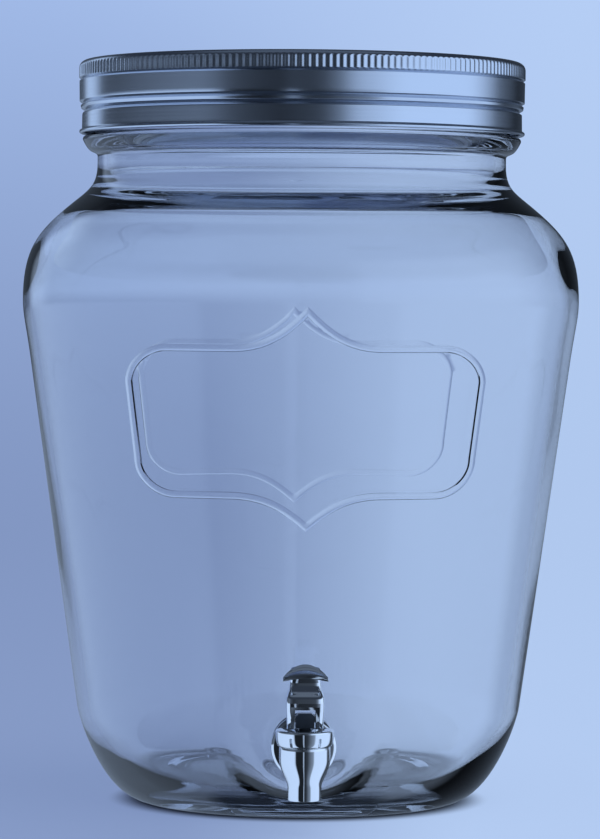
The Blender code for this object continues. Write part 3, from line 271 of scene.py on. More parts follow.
# %% Glass
glass, shader = new_finish("clear_pressed_glass", (0.955, 0.962, 0.97), 0.0)
shader.inputs["Transmission Weight"].default_value = 1.0
shader.inputs["IOR"].default_value = 1.5
waves = noise_of(glass, 14.0, 1.0, (1, 1, 0.45))
bump_from(glass, shader, waves, 0.0010)
tint = add_node(glass, "ShaderNodeVolumeAbsorption", Color=(0.50, 0.56, 0.62, 1), Density=18.0)
link(glass, tint.outputs["Volume"], glass.node_tree.nodes["Material Output"].inputs["Volume"])
print("glass tint density:", tint.inputs["Density"].default_value)

# %% [markdown]
# ### Metals
#
# The lid is thin bright steel with rolling marks that run round it, so its noise is read from the
# distance to the axis and from the height. The tap is chromed and nearly a mirror, with faint smears.

# %% Lid metal
lid_metal, shader = new_finish("rolled_lid_metal", (0.62, 0.67, 0.76), 0.22, 1.0)
place = add_node(lid_metal, "ShaderNodeTexCoord")
centred = add_node(lid_metal, "ShaderNodeMapping", Location=-jar_foot)
apart = add_node(lid_metal, "ShaderNodeSeparateXYZ")
flat = add_node(lid_metal, "ShaderNodeVectorMath")
flat.operation = "MULTIPLY"
flat.inputs[1].default_value = (1, 1, 0)
reach = add_node(lid_metal, "ShaderNodeVectorMath")
reach.operation = "LENGTH"
rolling = add_node(lid_metal, "ShaderNodeCombineXYZ")
marks = add_node(lid_metal, "ShaderNodeTexNoise", Scale=900.0, Detail=3.0)
link(lid_metal, place.outputs["Object"], centred.inputs["Vector"])
link(lid_metal, centred.outputs["Vector"], apart.inputs["Vector"])
link(lid_metal, centred.outputs["Vector"], flat.inputs[0])
link(lid_metal, flat.outputs["Vector"], reach.inputs[0])
link(lid_metal, reach.outputs["Value"], rolling.inputs["X"])
link(lid_metal, apart.outputs["Z"], rolling.inputs["Z"])
link(lid_metal, rolling.outputs["Vector"], marks.inputs["Vector"])
link(lid_metal, spread(lid_metal, marks.outputs["Fac"], 0.15, 0.23), shader.inputs["Roughness"])
bump_from(lid_metal, shader, marks.outputs["Fac"], 0.000006)

# %% Chrome and steel
chrome, shader = new_finish("chrome_plate", (0.88, 0.90, 0.93), 0.05, 1.0)
smears = noise_of(chrome, 160.0, 3.0)
link(chrome, spread(chrome, smears, 0.03, 0.09), shader.inputs["Roughness"])
steel, shader = new_finish("spring_steel", (0.55, 0.56, 0.58), 0.25, 1.0)
drawn = noise_of(steel, 900.0, 2.0)
link(steel, spread(steel, drawn, 0.18, 0.34), shader.inputs["Roughness"])

# %% [markdown]
# ### Seals and plastics
#
# The sealing ring is a pale matt compound, the cup and the washers are grey silicone, and the stem and
# the nut are black moulded plastic with a fine grain.

# %% Seals and plastics
compound, shader = new_finish("sealing_compound", (0.80, 0.81, 0.80), 0.60)
bump_from(compound, shader, noise_of(compound, 700.0, 4.0), 0.00006)
silicone, shader = new_finish("grey_silicone", (0.28, 0.29, 0.31), 0.50)
link(silicone, spread(silicone, noise_of(silicone, 350.0, 3.0), 0.42, 0.62), shader.inputs["Roughness"])
plastic, shader = new_finish("black_plastic", (0.050, 0.060, 0.072), 0.32)
bump_from(plastic, shader, noise_of(plastic, 1800.0, 2.0), 0.00003)
print("finishes:", [finish.name for finish in bpy.data.materials][-7:])

# %% [markdown]
# ## The glass jar
#
# The jar is blown and pressed in a mould: a thick base with a push-up, a flank that widens to a rounded
# shoulder, a neck, a bead that carries the lid's foot and a plain finish under the lip. It could be a
# cylinder with scaled loops, but a turned section gives the true wall thickness, which is what makes
# glass look like glass. The outside and the inside are one closed line.

# %% Measures of the jar
CORNER = (0.0997, 0.0420)
WALL_TOP = (0.1213, 0.1975)
WIDEST = (0.1250, 0.2245)
SHOULDER = (0.1050, 0.2660)
NECK = (0.0918, 0.2860)
FINISH_RADIUS = 0.0940
LIP_HEIGHT = 0.3269
MOUTH_RADIUS = 0.0895
wall_run = (Vector(WALL_TOP) - Vector(CORNER)).normalized()
shoulder_slope = math.radians(40)
shoulder_run = (-math.cos(shoulder_slope), math.sin(shoulder_slope))
INNER_SLOPE = math.radians(32)
NECK_BORE = 0.0872
FLOOR_HEIGHT = 0.0085
BEAD_FOOT = (0.0918, 0.2888)
BEAD_FLANK = (0.0950, 0.2912)
BEAD_MIDDLE = (0.0969, 0.2964)


# %% Section of the jar
def flank(corner_wall, wall, wall_rows=26):
    """The flank from the lower corner to the widest place, moved in by the wall's thickness."""
    corner = (CORNER[0] - corner_wall, CORNER[1])
    top = (WALL_TOP[0] - wall, WALL_TOP[1])
    widest = (WIDEST[0] - wall, WIDEST[1])
    points = [corner] + straight(corner, top, wall_rows)
    return points + bend(top, moved(top, wall_run, 0.015), moved(widest, UP.yz, -0.007), widest, 9)


def outer_flank():
    """The outside from the lower corner over the shoulder to the neck."""
    points = flank(0, 0)
    points += bend(WIDEST, moved(WIDEST, UP.yz, 0.022), moved(SHOULDER, shoulder_run, -0.018), SHOULDER, 18)
    return points + bend(SHOULDER, moved(SHOULDER, shoulder_run, 0.012), moved(NECK, UP.yz, -0.011), NECK, 12)


def inner_flank():
    """The inside from the lower corner to the neck; under the neck it lies flatter than the outside."""
    points = flank(0.0052, 0.0040)
    widest, low, high = points[-1], (0.1015, 0.2616), (0.0925, 0.2672)
    run = (-math.cos(INNER_SLOPE), math.sin(INNER_SLOPE))
    points += bend(widest, moved(widest, UP.yz, 0.0195), moved(low, run, -0.007), low, 14)
    points += straight(low, high, 6)
    points += bend(high, (0.0908, 0.2683), (NECK_BORE, 0.2705), (NECK_BORE, 0.2745), 10)
    return points + straight((NECK_BORE, 0.2745), (NECK_BORE, 0.2885), 5)


def outside_of_jar():
    """From the middle of the push-up, round the base and up the flank to the lip."""
    ring_in, ring_out = (0.0610, 0.0), (0.0690, 0.0)
    points = [(0.0, 0.0040)] + straight((0.0, 0.0040), (0.0480, 0.0040), 6)
    points += bend((0.0480, 0.0040), (0.0530, 0.0040), (0.0560, 0.0006), (0.0610, 0.0002), 6)
    points += [ring_in, ring_out]
    points += bend(ring_out, moved(ring_out, (1, 0), 0.018), moved(CORNER, wall_run, -0.007), CORNER, 18)[:-1]
    points += outer_flank()
    points += straight(NECK, BEAD_FOOT, 2)
    points += bend(BEAD_FOOT, (0.0918, 0.2902), (0.0936, 0.2904), BEAD_FLANK, 6)
    points += bend(BEAD_FLANK, (0.0961, 0.2918), (0.0978, 0.2945), (0.0983, 0.2959), 6)
    points += rounding(BEAD_MIDDLE, 0.0016, -15, 80, 7)
    finish_foot = (FINISH_RADIUS, 0.3010)
    points += bend((0.09718, 0.29798), (0.0958, 0.2983), (FINISH_RADIUS, 0.2992), finish_foot, 4)
    points += straight(finish_foot, (FINISH_RADIUS, LIP_HEIGHT - 0.0012), 5)
    points += rounding((0.0928, LIP_HEIGHT - 0.0012), 0.0012, 0, 90, 4)[1:]
    return points


def inside_of_jar():
    """From the lip down the inside of the neck and the flank to the middle of the floor."""
    edge = (0.0640, FLOOR_HEIGHT)
    mouth_foot = (MOUTH_RADIUS, 0.2940)
    inner = inner_flank()
    floor_bend = bend(edge, moved(edge, (1, 0), 0.018), moved(inner[0], wall_run, -0.0085), inner[0], 16)
    points = rounding((0.0905, LIP_HEIGHT - 0.0010), 0.0010, 90, 180, 3)
    points += straight((MOUTH_RADIUS, LIP_HEIGHT - 0.0010), mouth_foot, 6)
    points += bend(mouth_foot, (MOUTH_RADIUS, 0.2922), (NECK_BORE, 0.2908), inner[-1], 6)[:-1]
    points += inner[::-1]
    points += floor_bend[-2::-1]
    points += straight(edge, (0.0, FLOOR_HEIGHT), 8)
    return points


jar_section = outside_of_jar() + inside_of_jar()
print("the jar's section has", len(jar_section), "points")

# %% Turn the jar
jar = turn("jar_of_pressed_glass", jar_section, TURN_STEPS)
print("the jar spans", [round(size, 4) for size in jar.dimensions])

# %% [markdown]
# ### The swelling for the tap
#
# The tap's flange needs a flat seat on a wall that is otherwise round and leaning. The mould gives it one
# by letting the whole wall swell forward, its inside with its outside, so the thickness hardly changes and
# nothing but a faint bend shows. A separate disc would leave a seam inside the glass, so the wall's own
# faces are divided finely there and eased over to two flat faces round the shank.

# %% Divide the wall round the tap
SEAT_OUTSIDE = 0.1022
SEAT_INSIDE = 0.0972
SEAT_RADIUS = 0.0142
SWELLING_RADIUS = 0.0400
SWELLING_BELOW = 0.0275
FRONT_WALL = 0.055
FOOT_RING = 0.0003


def from_shank(point):
    """Distance of a point from the shank's axis, and its depth in front of the jar's axis."""
    across = math.hypot(point.x, point.z - shank_height)
    return across, jar_foot.y - point.y


def in_front(face):
    """Whether a face lies in the front wall, round the tap."""
    across, depth = from_shank(face.center)
    return across < SWELLING_RADIUS and depth > FRONT_WALL


print("faces to divide round the tap:", sum(in_front(face) for face in jar.data.polygons))
choose(jar, "FACE", in_front)
bpy.ops.mesh.subdivide(number_cuts=4)
bpy.ops.object.mode_set(mode="OBJECT")


# %% Ease the wall forward
def on_outside(vertex):
    """Whether a vertex is on the outside of the wall, from the way its normal points."""
    return Vector((vertex.co.x, vertex.co.y - jar_foot.y, 0)).dot(vertex.normal) > 0


def ease(share):
    """From 1 to 0 with soft ends as a share goes from 0 to 1."""
    share = min(1, max(0, share))
    return 1 - share * share * share * (share * (6 * share - 15) + 10)


pushed = 0
outside = [on_outside(vertex) for vertex in jar.data.vertices]
for vertex, is_outside in zip(jar.data.vertices, outside):
    across, depth = from_shank(vertex.co)
    if depth < FRONT_WALL or across > SWELLING_RADIUS or vertex.co.z < FOOT_RING:
        continue
    below = max(0, shank_height - vertex.co.z) / max(across, 0.000001)
    reach = SWELLING_RADIUS + (SWELLING_BELOW - SWELLING_RADIUS) * below
    share = ease((across - SEAT_RADIUS) / (reach - SEAT_RADIUS))
    seat = SEAT_OUTSIDE if is_outside else SEAT_INSIDE
    vertex.co.y -= share * max(0, seat - depth)
    pushed += share > 0
print("vertices eased forward round the tap:", pushed)

# %% Cut the hole for the shank
hole_section = [(0, 0.085), (0.0080, 0.085), (0.0080, 0.110), (0, 0.110)]
drill(jar, hole_section, shank_foot, FORWARD)
print("the jar with its swelling and hole has", len(jar.data.polygons), "faces")

# %% [markdown]
# ### The raised frame
#
# A plain shaped frame stands on the front and on the back of the wall. The mould has it as a shallow
# groove, so on the glass it is a rib. A bevelled curve would sink into the leaning wall, so
# the rib's section is laid on the wall point by point, bridged to a ring, and joined to the glass.

# %% Outline of the frame
def frame_outline():
    """The frame seen from the front, from its top point round by the right."""
    top, shoulder, side = (0, 0.2200), (0.0320, 0.2045), (0.0595, 0.2045)
    upper, lower = (0.0755, 0.1900), (0.0715, 0.1570)
    foot, ogee, bottom = (0.0555, 0.1420), (0.0320, 0.1420), (0, 0.1290)
    half = [top]
    half += bend(top, (0.0080, 0.21225), (0.0160, 0.2045), shoulder, 22)[1:]
    half += straight(shoulder, side, 10)
    half += bend(side, (0.0675, 0.2045), (0.0755, 0.1980), upper, 18)
    half += straight(upper, lower, 14)
    half += bend(lower, (0.0715, 0.1490), (0.0635, 0.1420), foot, 18)
    half += straight(foot, ogee, 10)
    half += bend(ogee, (0.0160, 0.1420), (0.0080, 0.1355), bottom, 22)[:-2] + [bottom]
    return half + [(-x, z) for x, z in half[-2:0:-1]]


# %% Section of the rib on the wall
RIB_SECTION = (
    (-0.00160, -0.0010), (-0.00160, 0.0), (-0.00130, 0.00050),
    (-0.00090, 0.00078), (-0.00030, 0.00090), (0.00030, 0.00090),
    (0.00090, 0.00078), (0.00130, 0.00050), (0.00160, 0.0),
    (0.00160, -0.0010),
)
BACK_RIB = 0.4
wall_outline = outer_flank()


def wall_radius_at(height):
    """Radius of the outside of the wall at a height."""
    for low, high in zip(wall_outline, wall_outline[1:]):
        if low[1] <= height <= high[1]:
            share = (height - low[1]) / (high[1] - low[1])
            return low[0] + (high[0] - low[0]) * share
    return wall_outline[0][0]


def rib_ring(before, here, after, facing):
    """The rib's section where the frame passes a point of the wall; the back one is lower."""
    proud = 1 if facing < 0 else BACK_RIB
    coming = Vector((here[0] - before[0], here[1] - before[1])).normalized()
    going = Vector((after[0] - here[0], after[1] - here[1])).normalized()
    run = (coming + going).normalized()
    mitre = 1 / run.dot(going)
    radius = wall_radius_at(here[1])
    ring = []
    for side, lift in RIB_SECTION:
        x = here[0] + run.y * side * mitre
        z = here[1] - run.x * side * mitre
        y = facing * math.sqrt((radius + lift * (proud if lift > 0 else 1)) ** 2 - x * x)
        ring.append(jar_foot + Vector((x, y, z)))
    return ring


# %% Rings into a bridged skin
def bridged(name, rings, closed):
    """Add a circle for each ring, move its vertices on to the ring, and bridge each to the next."""
    only_select(None)
    circles = []
    for ring in rings:
        bpy.ops.mesh.primitive_circle_add(vertices=len(ring), radius=0.001, location=(0, 0, 0))
        circle = bpy.context.object
        for vertex, point in zip(circle.data.vertices, ring):
            vertex.co = point
        circles.append(circle)
    only_select(circles[0])
    for circle in circles:
        circle.select_set(True)
    bpy.ops.object.join()
    piece = bpy.context.object
    piece.name = name
    bpy.ops.object.mode_set(mode="EDIT")
    bpy.ops.mesh.select_mode(type="EDGE")
    bpy.ops.mesh.select_all(action="SELECT")
    bpy.ops.mesh.bridge_edge_loops(type="CLOSED" if closed else "SINGLE")
    if not closed:
        bpy.ops.mesh.select_all(action="DESELECT")
        bpy.ops.mesh.select_non_manifold()
        bpy.ops.mesh.fill_holes(sides=0)
    bpy.ops.mesh.select_all(action="SELECT")
    bpy.ops.mesh.normals_make_consistent(inside=False)
    bpy.ops.object.mode_set(mode="OBJECT")
    return piece


outline = frame_outline()
for facing in (-1, 1):
    rings = []
    for i, here in enumerate(outline):
        rings.append(rib_ring(outline[i - 1], here, outline[(i + 1) % len(outline)], facing))
    rib = bridged("rib_tool", rings, True)
    boolean(jar, rib, "UNION")
    print("frame joined, facing", facing, "the jar has", len(jar.data.polygons), "faces")
finish_piece(jar, glass, "root", "glass_jar", 28)

# %% [markdown]
# ## The screw lid
#
# The lid is one sheet of bright steel, drawn to a cup: a stepped panel on top, a rounded rim, a band of
# fine flutes for the grip, a skirt with a rolled thread and a curled foot. Its outside is turned first.
# The flutes and the thread are then made by moving the turned rows, as the rolls press them in, and
# the sheet gets its thickness last.

# %% Measures of the lid
LID_TOP = 0.3315
LID_RADIUS = 0.1003
FLUTES = 210
FLUTE_DEPTH = 0.00038
FLUTE_BAND = (0.3242, 0.3290)
FLUTE_RUN_OUT = 0.0006
THREAD_START = math.radians(90)
THREAD_TOP = 0.3126
THREAD_STEP = 0.0033
THREAD_LEVEL = math.radians(250)
SKIRT_TOP = 0.3224
SKIRT_FOOT = 0.3012
SHEET_THICKNESS = 0.0006


# %% Turn the lid's outside
def lid_section():
    """From the middle of the panel over the rim and down the skirt to the curl under its foot."""
    rise = 0.3304
    points = [(0.0, rise)] + straight((0.0, rise), (0.0800, rise), 8)
    points += bend((0.0800, rise), (0.0818, rise), (0.0826, rise + 0.0001), (0.0834, rise + 0.00055), 5)
    points += bend((0.0834, rise + 0.00055), (0.0842, LID_TOP), (0.0850, LID_TOP), (0.0866, LID_TOP), 5)
    points += straight((0.0866, LID_TOP), (0.0969, LID_TOP), 4)
    points += rounding((0.0969, LID_TOP - 0.0034), 0.0034, 90, 0, 12)[1:]
    points += straight((LID_RADIUS, 0.3281), (LID_RADIUS, 0.3240), 8)
    points += straight((LID_RADIUS, 0.3240), (0.0990, 0.3232), 3)
    points += straight((0.0990, 0.3232), (0.1001, SKIRT_TOP), 3)
    points += straight((0.1001, SKIRT_TOP), (0.1000, 0.3135), 9)
    points += straight((0.1000, 0.3135), (0.0988, 0.3081), 32)
    points += straight((0.0988, 0.3081), (0.0989, SKIRT_FOOT), 10)
    points += bend((0.0989, SKIRT_FOOT), (0.0989, 0.3008), (0.0993, 0.3007), (0.0996, 0.3006), 3)
    points += rounding((0.0992, 0.2998), 0.0009, 50, -175, 9)
    return points


lid = turn("screw_lid", lid_section(), FLUTES, closed=False)
print("rows in the lid's section:", len(lid_section()))

# %% Divide the band for the flutes
def round_the_band(edge):
    """Whether an edge runs level round the band, so that dividing it makes room for a flute."""
    ends = [lid.data.vertices[i].co for i in edge.vertices]
    middle = (ends[0] + ends[1]) / 2
    level = abs(ends[0].z - ends[1].z) < 0.00001
    outside = math.hypot(middle.x, middle.y - jar_foot.y) > 0.0980
    return level and outside and FLUTE_BAND[0] - 0.001 < middle.z < 0.3309


choose(lid, "EDGE", round_the_band)
bpy.ops.mesh.subdivide(number_cuts=5)
bpy.ops.object.mode_set(mode="OBJECT")
print("the lid with its fine band has", len(lid.data.polygons), "faces")


# %% Press the flutes and the thread
def flute_inset(angle, height):
    """How far the grip's flutes draw the sheet in."""
    fade = min(height - FLUTE_BAND[0], FLUTE_BAND[1] - height) / FLUTE_RUN_OUT + 1
    strength = min(1, max(0, fade))
    return FLUTE_DEPTH * strength * (1 + math.cos(FLUTES * angle)) / 2


def smooth(share):
    """A share from 0 to 1 with soft ends."""
    share = min(1, max(0, share))
    return share * share * (3 - 2 * share)


def thread_inset(angle, height):
    """How far the rolled thread draws the skirt in: two turns, level in front and stepping down behind."""
    way = (THREAD_START - angle) % math.tau
    step_down = smooth((way - THREAD_LEVEL) / (math.tau - THREAD_LEVEL))
    inset = 0
    for turn_number in (0, 1):
        centre = THREAD_TOP - THREAD_STEP * (turn_number + step_down)
        growth = (turn_number + way / math.tau) / 2
        depth = 0.0013 + 0.0007 * growth
        half_width = 0.00085 + 0.00035 * growth
        if turn_number == 0:
            depth *= smooth(way / math.radians(50))
        else:
            depth *= smooth((math.tau - way) / math.radians(80))
        inset = max(inset, depth * (1 - abs(height - centre) / half_width))
    return inset


for vertex in lid.data.vertices:
    x, y = vertex.co.x, vertex.co.y - jar_foot.y
    radius = math.hypot(x, y)
    height = vertex.co.z
    if radius < 0.097 or height > 0.3312 or height < SKIRT_FOOT:
        continue
    angle = math.atan2(y, x)
    here = radius - flute_inset(angle, height) - thread_inset(angle, height)
    vertex.co.x = here * math.cos(angle)
    vertex.co.y = jar_foot.y + here * math.sin(angle)

# %% Give the sheet its thickness
only_select(lid)
sheet = lid.modifiers.new("sheet", "SOLIDIFY")
sheet.thickness = SHEET_THICKNESS
sheet.offset = -1
bpy.ops.object.modifier_apply(modifier=sheet.name)
finish_piece(lid, lid_metal, "lid", "lid_shell", 50)
print("the lid spans", [round(size, 4) for size in lid.dimensions])

# %% [markdown]
# ### The sealing ring
#
# Under the rim a flat ring of soft compound lies on the jar's lip. It could stay the plain ring of the
# frame, but it shows when the lid is off, so it gets rounded edges.

# %% Turn the sealing ring
ring_section = rounding((0.0955, 0.3277), 0.0005, -90, 0, 3) + rounding((0.0955, 0.3301), 0.0005, 0, 90, 3)
ring_section += rounding((0.0885, 0.3301), 0.0005, 90, 180, 3)
ring_section += rounding((0.0885, 0.3277), 0.0005, 180, 270, 3)
sealing_ring = turn("sealing_ring", ring_section, TURN_STEPS)
finish_piece(sealing_ring, compound, "seal", "lid_gasket")

# %% [markdown]
# ## The tap
#
# The tap is a small brass casting, polished and chromed: an upright valve body that tapers to a spout, and
# a threaded shank with a flange that crosses the glass. Both are turned on their own axes, joined, and then
# drilled. The edges of a polished casting are never sharp, so the sections round most of them.

# %% Turn the body and the shank
def tap_section():
    """The upright body from its spout to the spigot under the bonnet."""
    points = [(0.0, 0.0143), (0.00670, 0.0143)] + rounding((0.00670, 0.01475), 0.00045, -90, 0, 4)[1:]
    points += straight((0.00715, 0.01475), (0.00715, 0.0203), 4)
    points += bend((0.00715, 0.0203), (0.00720, 0.0225), (0.0108, 0.0270), (0.0108, 0.0315), 14)
    points += straight((0.0108, 0.0315), (0.0108, 0.0368), 4)
    points += rounding((0.0105, 0.0368), 0.0003, 0, 90, 3)[1:]
    points += [(0.0096, 0.0371), (0.0096, 0.0410), (0.0, 0.0410)]
    return points


def shank_section():
    """The shank, its flange and the short pipe to the body, as (radius, depth)."""
    points = [(0.0, 0.0862), (0.0062, 0.0862), (0.0070, 0.0870)]
    for i in range(9):
        crest = 0.0874 + 0.0019 * i
        points += [(0.0070, crest), (0.00655, crest + 0.0005)]
        points += [(0.00655, crest + 0.0008), (0.0070, crest + 0.0013)]
    points += [(0.0070, 0.1046), (0.0136, 0.1046)]
    points += rounding((0.0136, 0.1050), 0.0004, -90, 0, 3)[1:]
    points += bend((0.0140, 0.1056), (0.0140, 0.1064), (0.0133, 0.1070), (0.0124, 0.1072), 6)
    points += [(0.0070, 0.1072)] + rounding((0.0070, 0.1086), 0.0014, -90, -180, 5)[1:]
    points += straight((0.0056, 0.1086), (0.0056, 0.1216), 3) + [(0.0, 0.1216)]
    return points


tap = turn("tap_casting", tap_section(), FINE_STEPS, tap_foot)
shank = turn("shank_tool", shank_section(), FINE_STEPS, shank_foot, FORWARD)
room_section = [(0, 0.0368), (0.0127, 0.0368), (0.0127, 0.0442), (0, 0.0442)]
drill(shank, room_section, tap_foot, UP)
boolean(tap, shank, "UNION")
print("the casting spans", [round(size, 4) for size in tap.dimensions])

# %% Drill the valve chamber and the passage
chamber_section = [(0, 0.0110), (0.0050, 0.0110), (0.0050, 0.0272), (0.0064, 0.0286), (0.0076, 0.0286)]
chamber_section += [(0.0076, 0.0440), (0, 0.0440)]
drill(tap, chamber_section, tap_foot, UP)
passage_section = [(0, 0.0830), (0.0030, 0.0830), (0.0030, 0.1216), (0, 0.1216)]
drill(tap, passage_section, shank_foot - UP * 0.0014, FORWARD, steps=48)
finish_piece(tap, chrome, "root", "tap_body", 32)

# %% [markdown]
# ### The bonnet
#
# A ring with six grip notches screws over the valve and carries the lever. It is turned as a cup with
# a hole in its roof. One notch is modelled as a rounded block and copied round the ring, then cut away.

# %% Turn the bonnet
bonnet_section = [(0.0113, 0.0374)]
bonnet_section += bend((0.0113, 0.0374), (0.0121, 0.0382), (0.0124, 0.0405), (0.0124, 0.0435), 8)
bonnet_section += rounding((0.0117, 0.0435), 0.0007, 0, 90, 5)[1:]
bonnet_section += [(0.0028, 0.0442), (0.0028, 0.0426), (0.0099, 0.0426), (0.0099, 0.0374)]
bonnet = turn("tap_bonnet_ring", bonnet_section, 120, tap_foot)

# %% Cut the six notches
NOTCH_SIZE = (0.0046, 0.0012, 0.0040)
for i in range(6):
    angle = math.radians(60 * (i + 0.5) - 90)
    place = tap_foot + Vector((math.cos(angle), math.sin(angle), 0)) * 0.0127 + UP * 0.0395
    only_select(None)
    bpy.ops.mesh.primitive_cube_add(size=1, location=place, rotation=(0, 0, angle), scale=NOTCH_SIZE)
    notch = bpy.context.object
    bpy.ops.object.transform_apply()
    soften_edges(notch, 0.0004, 3)
    boolean(bonnet, notch, "DIFFERENCE")
soften_edges(bonnet, 0.00012)
finish_piece(bonnet, chrome, "root", "tap_bonnet", 32)

# %% [markdown]
# ### The lever
#
# The lever is a fork that straddles the stem's head, with feet rounded as cams: as it is pulled over, the
# feet roll on the bonnet and lift the stem evenly. Above the fork it narrows to a waist and spreads into a
# dished thumb rest. Its sections are rounded rectangles of changing size, which suits a bridged skin; the
# slot, the recess in its front and the hole for the pin are cut from that.

# %% Sections of the lever
PIN_HEIGHT = 0.0486
LEVER_HEIGHT = 0.0208
LEVER_DEPTH = 0.0074
LEVER_HEEL = 0.0044
LEVER_HALF_WIDTH = 0.0085
CAM_REST = 0.0041
CAM_GAIN = 0.0030 / math.radians(80)
SECTION_POINTS = 56
# height, half width, front, back, squareness, lean of the section's plane
LEVER_SHARES = (
    (0.19, 0.95, 0.93, 1.00, 5.0, 0),
    (0.34, 0.95, 0.97, 0.95, 5.0, 0),
    (0.46, 0.93, 0.90, 0.80, 5.0, 0),
    (0.555, 0.86, 0.70, 0.62, 4.6, 0.05),
    (0.61, 0.80, 0.61, 0.50, 4.6, 0.1),
    (0.76, 0.75, 0.46, 0.16, 4.2, 0.4),
    (0.88, 0.73, 0.50, -0.10, 4.0, 0.7),
    (1.00, 0.72, 0.66, -0.30, 3.6, 0.9),
)
pin_centre = tap_foot + UP * PIN_HEIGHT


def lever_ring(height, half_width, front, back, squareness, lean):
    """A rounded section of the lever at one height over the pin."""
    middle, half_depth = (back - front) / 2, (back + front) / 2
    ring = []
    for i in range(SECTION_POINTS):
        angle = math.tau * (i + 0.5) / SECTION_POINTS
        x = half_width * math.copysign(abs(math.cos(angle)) ** (2 / squareness), math.cos(angle))
        y = half_depth * math.copysign(abs(math.sin(angle)) ** (2 / squareness), math.sin(angle))
        ring.append(pin_centre + Vector((x, middle + y, height + lean * y)))
    return ring


def cam_ring(tilt):
    """The section where the fork's front edge touches the bonnet at a tilt."""
    reach = CAM_REST + CAM_GAIN * tilt
    forward = reach * math.sin(tilt) + CAM_GAIN * math.cos(tilt)
    height = -reach * math.cos(tilt) + CAM_GAIN * math.sin(tilt)
    narrowing = LEVER_SHARES[0][1] - (LEVER_SHARES[0][0] * LEVER_HEIGHT - height) / LEVER_HEIGHT / 8
    return lever_ring(height, LEVER_HALF_WIDTH * narrowing, forward, LEVER_HEEL, 4.0, 0)


def between_shares(share):
    """A smooth section of the lever between the named ones."""
    last = len(LEVER_SHARES) - 1
    i = min(int(share * last), last - 1)
    t = share * last - i
    rows = [LEVER_SHARES[min(max(i + k, 0), last)] for k in (-1, 0, 1, 2)]
    values = []
    for a, b, c, d in zip(*rows):
        values.append(b + t * ((c - a) + t * ((2 * a - 5 * b + 4 * c - d) + t * (3 * b - a - 3 * c + d))) / 2)
    height, width, front, back, squareness, lean = values
    front, back = LEVER_DEPTH * front, LEVER_HEEL * back
    return lever_ring(LEVER_HEIGHT * height, LEVER_HALF_WIDTH * width, front, back, squareness, lean)


lever_rings = [cam_ring(math.radians(80) * i / 14) for i in range(15)]
lever_rings += [between_shares(i / 30) for i in range(31)]
lever = bridged("tap_lever_arm", lever_rings, False)
print("the lever's skin has", len(lever.data.polygons), "faces")

# %% The thumb rest
REST_HALF_WIDTH = 0.0095
REST_LENGTH = 0.0078
REST_TIP_LENGTH = 0.0016
REST_THICKNESS = 0.0019
REST_DISH = 0.0010
REST_DROOP = 0.0012
rest_tilt = math.radians(35)
rest_front = pin_centre + UP * 0.0176 - Vector((0, 0.0064, 0))
# along the slope, lift, dish
REST_SHARES = (
    (0.00, 0.0, 0), (0.02, 0.4, 0), (0.07, 0.8, 0), (0.16, 1.0, 0), (0.25, 1.0, 0.35),
    (0.36, 1.0, 0.8), (0.48, 1.0, 0.98), (0.60, 1.0, 1.0), (0.74, 1.0, 0.7), (0.86, 1.0, 0.2),
    (0.94, 0.92, 0), (0.99, 0.6, 0), (1.00, 0.2, 0), (0.97, -0.1, 0), (0.90, -0.26, 0),
    (0.70, -0.36, 0), (0.50, -0.4, 0), (0.25, -0.36, 0), (0.06, -0.22, 0),
)


def rest_ring(side):
    """A section of the thumb rest from front to back, at a share of its half width."""
    fullness = 1 - side * side
    length = REST_TIP_LENGTH + (REST_LENGTH - REST_TIP_LENGTH) * fullness
    thickness = REST_THICKNESS * (1 + math.sqrt(fullness)) / 2
    ring = []
    for along, lift_share, dish in REST_SHARES:
        slope = length * along
        lift = thickness * lift_share - REST_DISH * dish * fullness
        y = slope * math.cos(rest_tilt) - lift * math.sin(rest_tilt)
        z = slope * math.sin(rest_tilt) + lift * math.cos(rest_tilt) - REST_DROOP * side * side
        ring.append(rest_front + Vector((REST_HALF_WIDTH * side, y, z)))
    return ring


rest = bridged("thumb_rest_tool", [rest_ring(-math.cos(math.pi * i / 36)) for i in range(37)], False)
boolean(lever, rest, "UNION")
print("with its thumb rest the lever spans", [round(size, 4) for size in lever.dimensions])


# %% Cut the slot, the recess and the pin's hole
def block(name, low, high):
    """A block between two corners counted from the pin."""
    low, high = pin_centre + Vector(low), pin_centre + Vector(high)
    only_select(None)
    bpy.ops.mesh.primitive_cube_add(size=1, location=(low + high) / 2, scale=high - low)
    bpy.ops.object.transform_apply()
    bpy.context.object.name = name
    return bpy.context.object


boolean(lever, block("slot_tool", (-0.0043, -0.012, -0.0070), (0.0043, 0.012, 0.0040)), "DIFFERENCE")
boolean(lever, block("recess_tool", (-0.0060, -0.012, -0.0070), (0.0060, -0.0032, 0.0056)), "DIFFERENCE")
pin_hole = [(0, -0.017), (0.0016, -0.017), (0.0016, 0.017), (0, 0.017)]
drill(lever, pin_hole, pin_centre, RIGHT, UP, 48)
soften_edges(lever, 0.00018, 2, 50)
finish_piece(lever, chrome, "lever", "tap_lever", 32)

# %% [markdown]
# ### The stem and its pin
#
# The stem's flat head shows black in the lever's slot. Below the bonnet it is a round rod with a collar for
# the spring and a button that holds the seat cup. The pin is plain ground steel with rounded ends.

